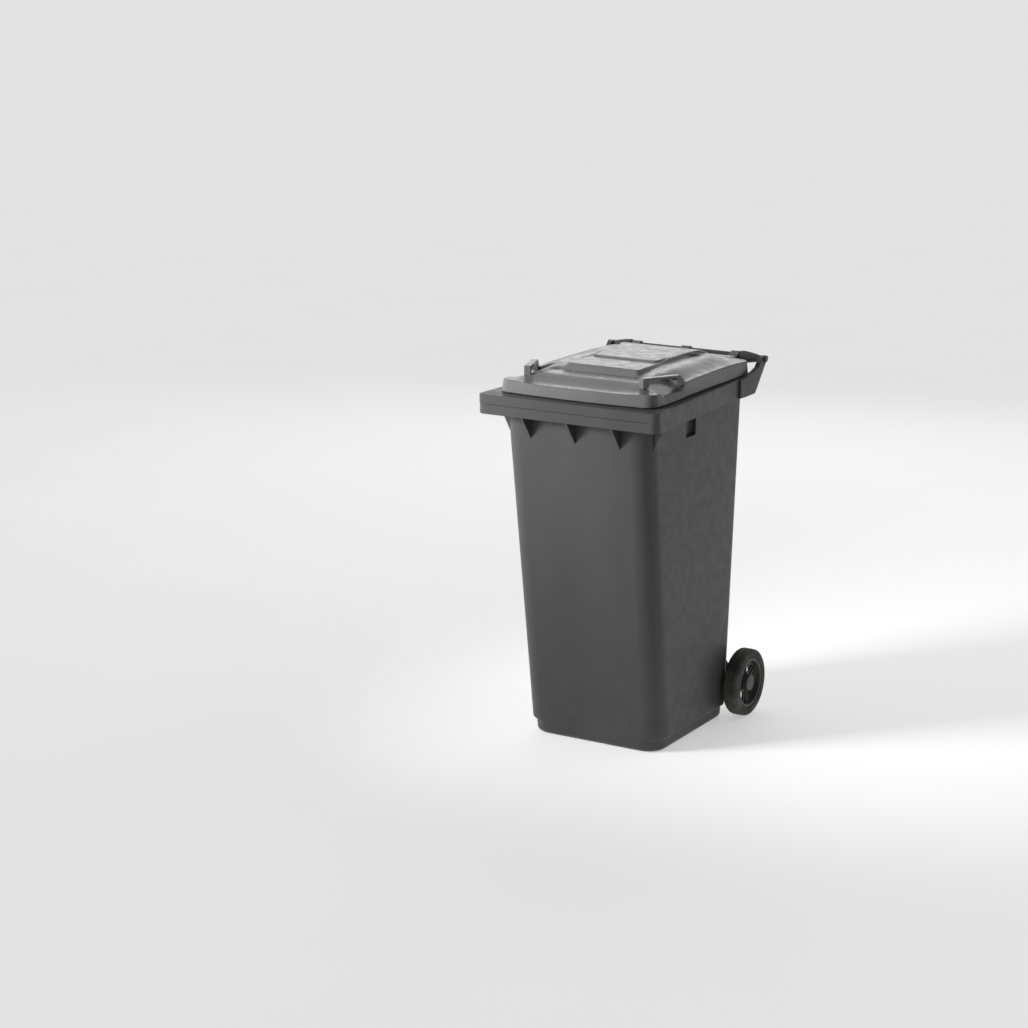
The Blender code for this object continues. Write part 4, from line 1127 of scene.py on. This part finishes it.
def make_hub_cap(side):
    """Cup that snaps over the hub's boss and hides the end of the axle."""
    sign = SIDES[side]
    node = f"hub_cap_{side}"
    low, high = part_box(node)
    inner_x = min(abs(low.x), abs(high.x))
    outer_x = max(abs(low.x), abs(high.x))
    radius = (high.z - low.z) / 2
    inside = radius - 0.0022
    edge = 0.003
    profile = [(outer_x - 0.0025, 0.004), (outer_x - 0.0025, inside - 0.001),
               (outer_x - 0.0030, inside), (inner_x, inside), (inner_x, radius - 0.0004),
               (inner_x + 0.0004, radius)]
    profile += [(outer_x - edge * (1 - sin(t)), radius - edge * (1 - cos(t)))
                for t in spread(0, pi / 2, 6)]
    profile += [(outer_x, 0.0145), (outer_x - 0.0006, 0.0138), (outer_x - 0.0006, 0.0120),
                (outer_x, 0.0113), (outer_x, 0.002)]
    cap = spindle(f"fine_{node}", [(sign * x, reach) for x, reach in profile], AXLE, 64)
    stand_for(cap, node)


# ---------------------------------------------------------------- floor, light and camera

FLOOR_REACH, FLOOR_GLOW = 60.0, 0.42
AIR_STRENGTH = 0.62
DIM_SIDE = (0.42, -0.74, 0.52)
CAMERA_PLACE = Vector((3.3879, -6.2302, 2.4014))
CAMERA_TILT, CAMERA_TURN = 13.9938, 31.2077
CAMERA_LENS, SENSOR = 88.677, 36.0


def make_floor():
    bm = bmesh.new()
    bmesh.ops.create_circle(bm, cap_ends=True, segments=64, radius=FLOOR_REACH)
    floor = object_from(bm, "studio_floor")
    finish = bpy.data.materials.new("pale_floor")
    finish.use_nodes = True
    tree = finish.node_tree
    shader = tree.nodes["Principled BSDF"]
    shader.inputs["Roughness"].default_value = 0.9
    shader.inputs["Specular IOR Level"].default_value = 0.2
    shader.inputs["Emission Color"].default_value = (1, 1, 1, 1)
    shader.inputs["Emission Strength"].default_value = FLOOR_GLOW
    coords = tree.nodes.new("ShaderNodeTexCoord")
    cloud = noise_node(tree, coords, 1.5, 3.0)
    tones = ramp_between(tree, cloud, "Fac", 0.3, 0.7, ((0.84, 0.84, 0.84), (0.86, 0.86, 0.86)))
    link(tree, tones, "Color", shader, "Base Color")
    floor.data.materials.append(finish)


def make_world():
    """Studio air: bright behind and beside the bin, dimmer overhead and towards the front right."""
    world = bpy.data.worlds.new("studio")
    bpy.context.scene.world = world
    world.use_nodes = True
    tree = world.node_tree
    coords = tree.nodes.new("ShaderNodeTexCoord")
    facing = tree.nodes.new("ShaderNodeVectorMath")
    facing.operation = "DOT_PRODUCT"
    facing.inputs[1].default_value = DIM_SIDE
    link(tree, coords, "Generated", facing, 0)
    ramp = tree.nodes.new("ShaderNodeValToRGB")
    ramp.color_ramp.elements[0].position = 0.10
    ramp.color_ramp.elements[0].color = (0.95, 0.95, 0.95, 1)
    ramp.color_ramp.elements[1].position = 0.90
    ramp.color_ramp.elements[1].color = (0.22, 0.22, 0.22, 1)
    link(tree, facing, "Value", ramp, "Fac")
    link(tree, ramp, "Color", tree.nodes["Background"], "Color")
    tree.nodes["Background"].inputs["Strength"].default_value = AIR_STRENGTH


def area_light(name, place, target, size, power, spread_angle):
    lamp = bpy.data.lights.new(name, "AREA")
    lamp.shape = "RECTANGLE"
    lamp.size, lamp.size_y = size
    lamp.energy = power
    lamp.spread = radians(spread_angle)
    made = bpy.data.objects.new(name, lamp)
    made.location = place
    made.rotation_euler = (Vector(target) - Vector(place)).to_track_quat("-Z", "Y").to_euler()
    bpy.context.scene.collection.objects.link(made)
    return made


def make_lights():
    """Small key light, which the bin's glossy surfaces don't mirror, and a soft light behind."""
    key = area_light("key_front_left", (-1.5, -1.9, 1.60), (-0.22, -0.35, 1.10), (0.7, 0.7), 15, 56)
    key.visible_glossy = False
    area_light("back_softbox", (-1.6, 4.2, 2.4), (0, 0, 1.0), (3.4, 1.6), 26, 180)


def make_camera():
    lens = bpy.data.cameras.new("photo_camera")
    lens.lens = CAMERA_LENS
    lens.sensor_width = SENSOR
    lens.clip_end = 200.0
    camera = bpy.data.objects.new("photo_camera", lens)
    camera.location = CAMERA_PLACE
    camera.rotation_euler = (radians(90 - CAMERA_TILT), 0, radians(CAMERA_TURN))
    bpy.context.scene.collection.objects.link(camera)
    bpy.context.scene.camera = camera


# ---------------------------------------------------------------- whole scene

def main():
    make_tub()
    make_lid()
    for side in SIDES:
        make_hinge_pin(side)
        for row in ("front", "rear"):
            make_buffer(f"{row}_{side}")
    make_axle()
    for side in SIDES:
        make_sleeve(f"axle_spacer_{side}", 0.0008)
        make_sleeve(f"axle_washer_{side}", 0.0004)
        make_sleeve(f"wheel_bush_{side}", 0.0004)
        make_sleeve(f"push_nut_{side}", 0.0004)
        make_hub(side)
        make_tyre(side)
        make_hub_cap(side)
    make_floor()
    make_world()
    make_lights()
    make_camera()
    bpy.context.scene.view_settings.view_transform = "Standard"


main()
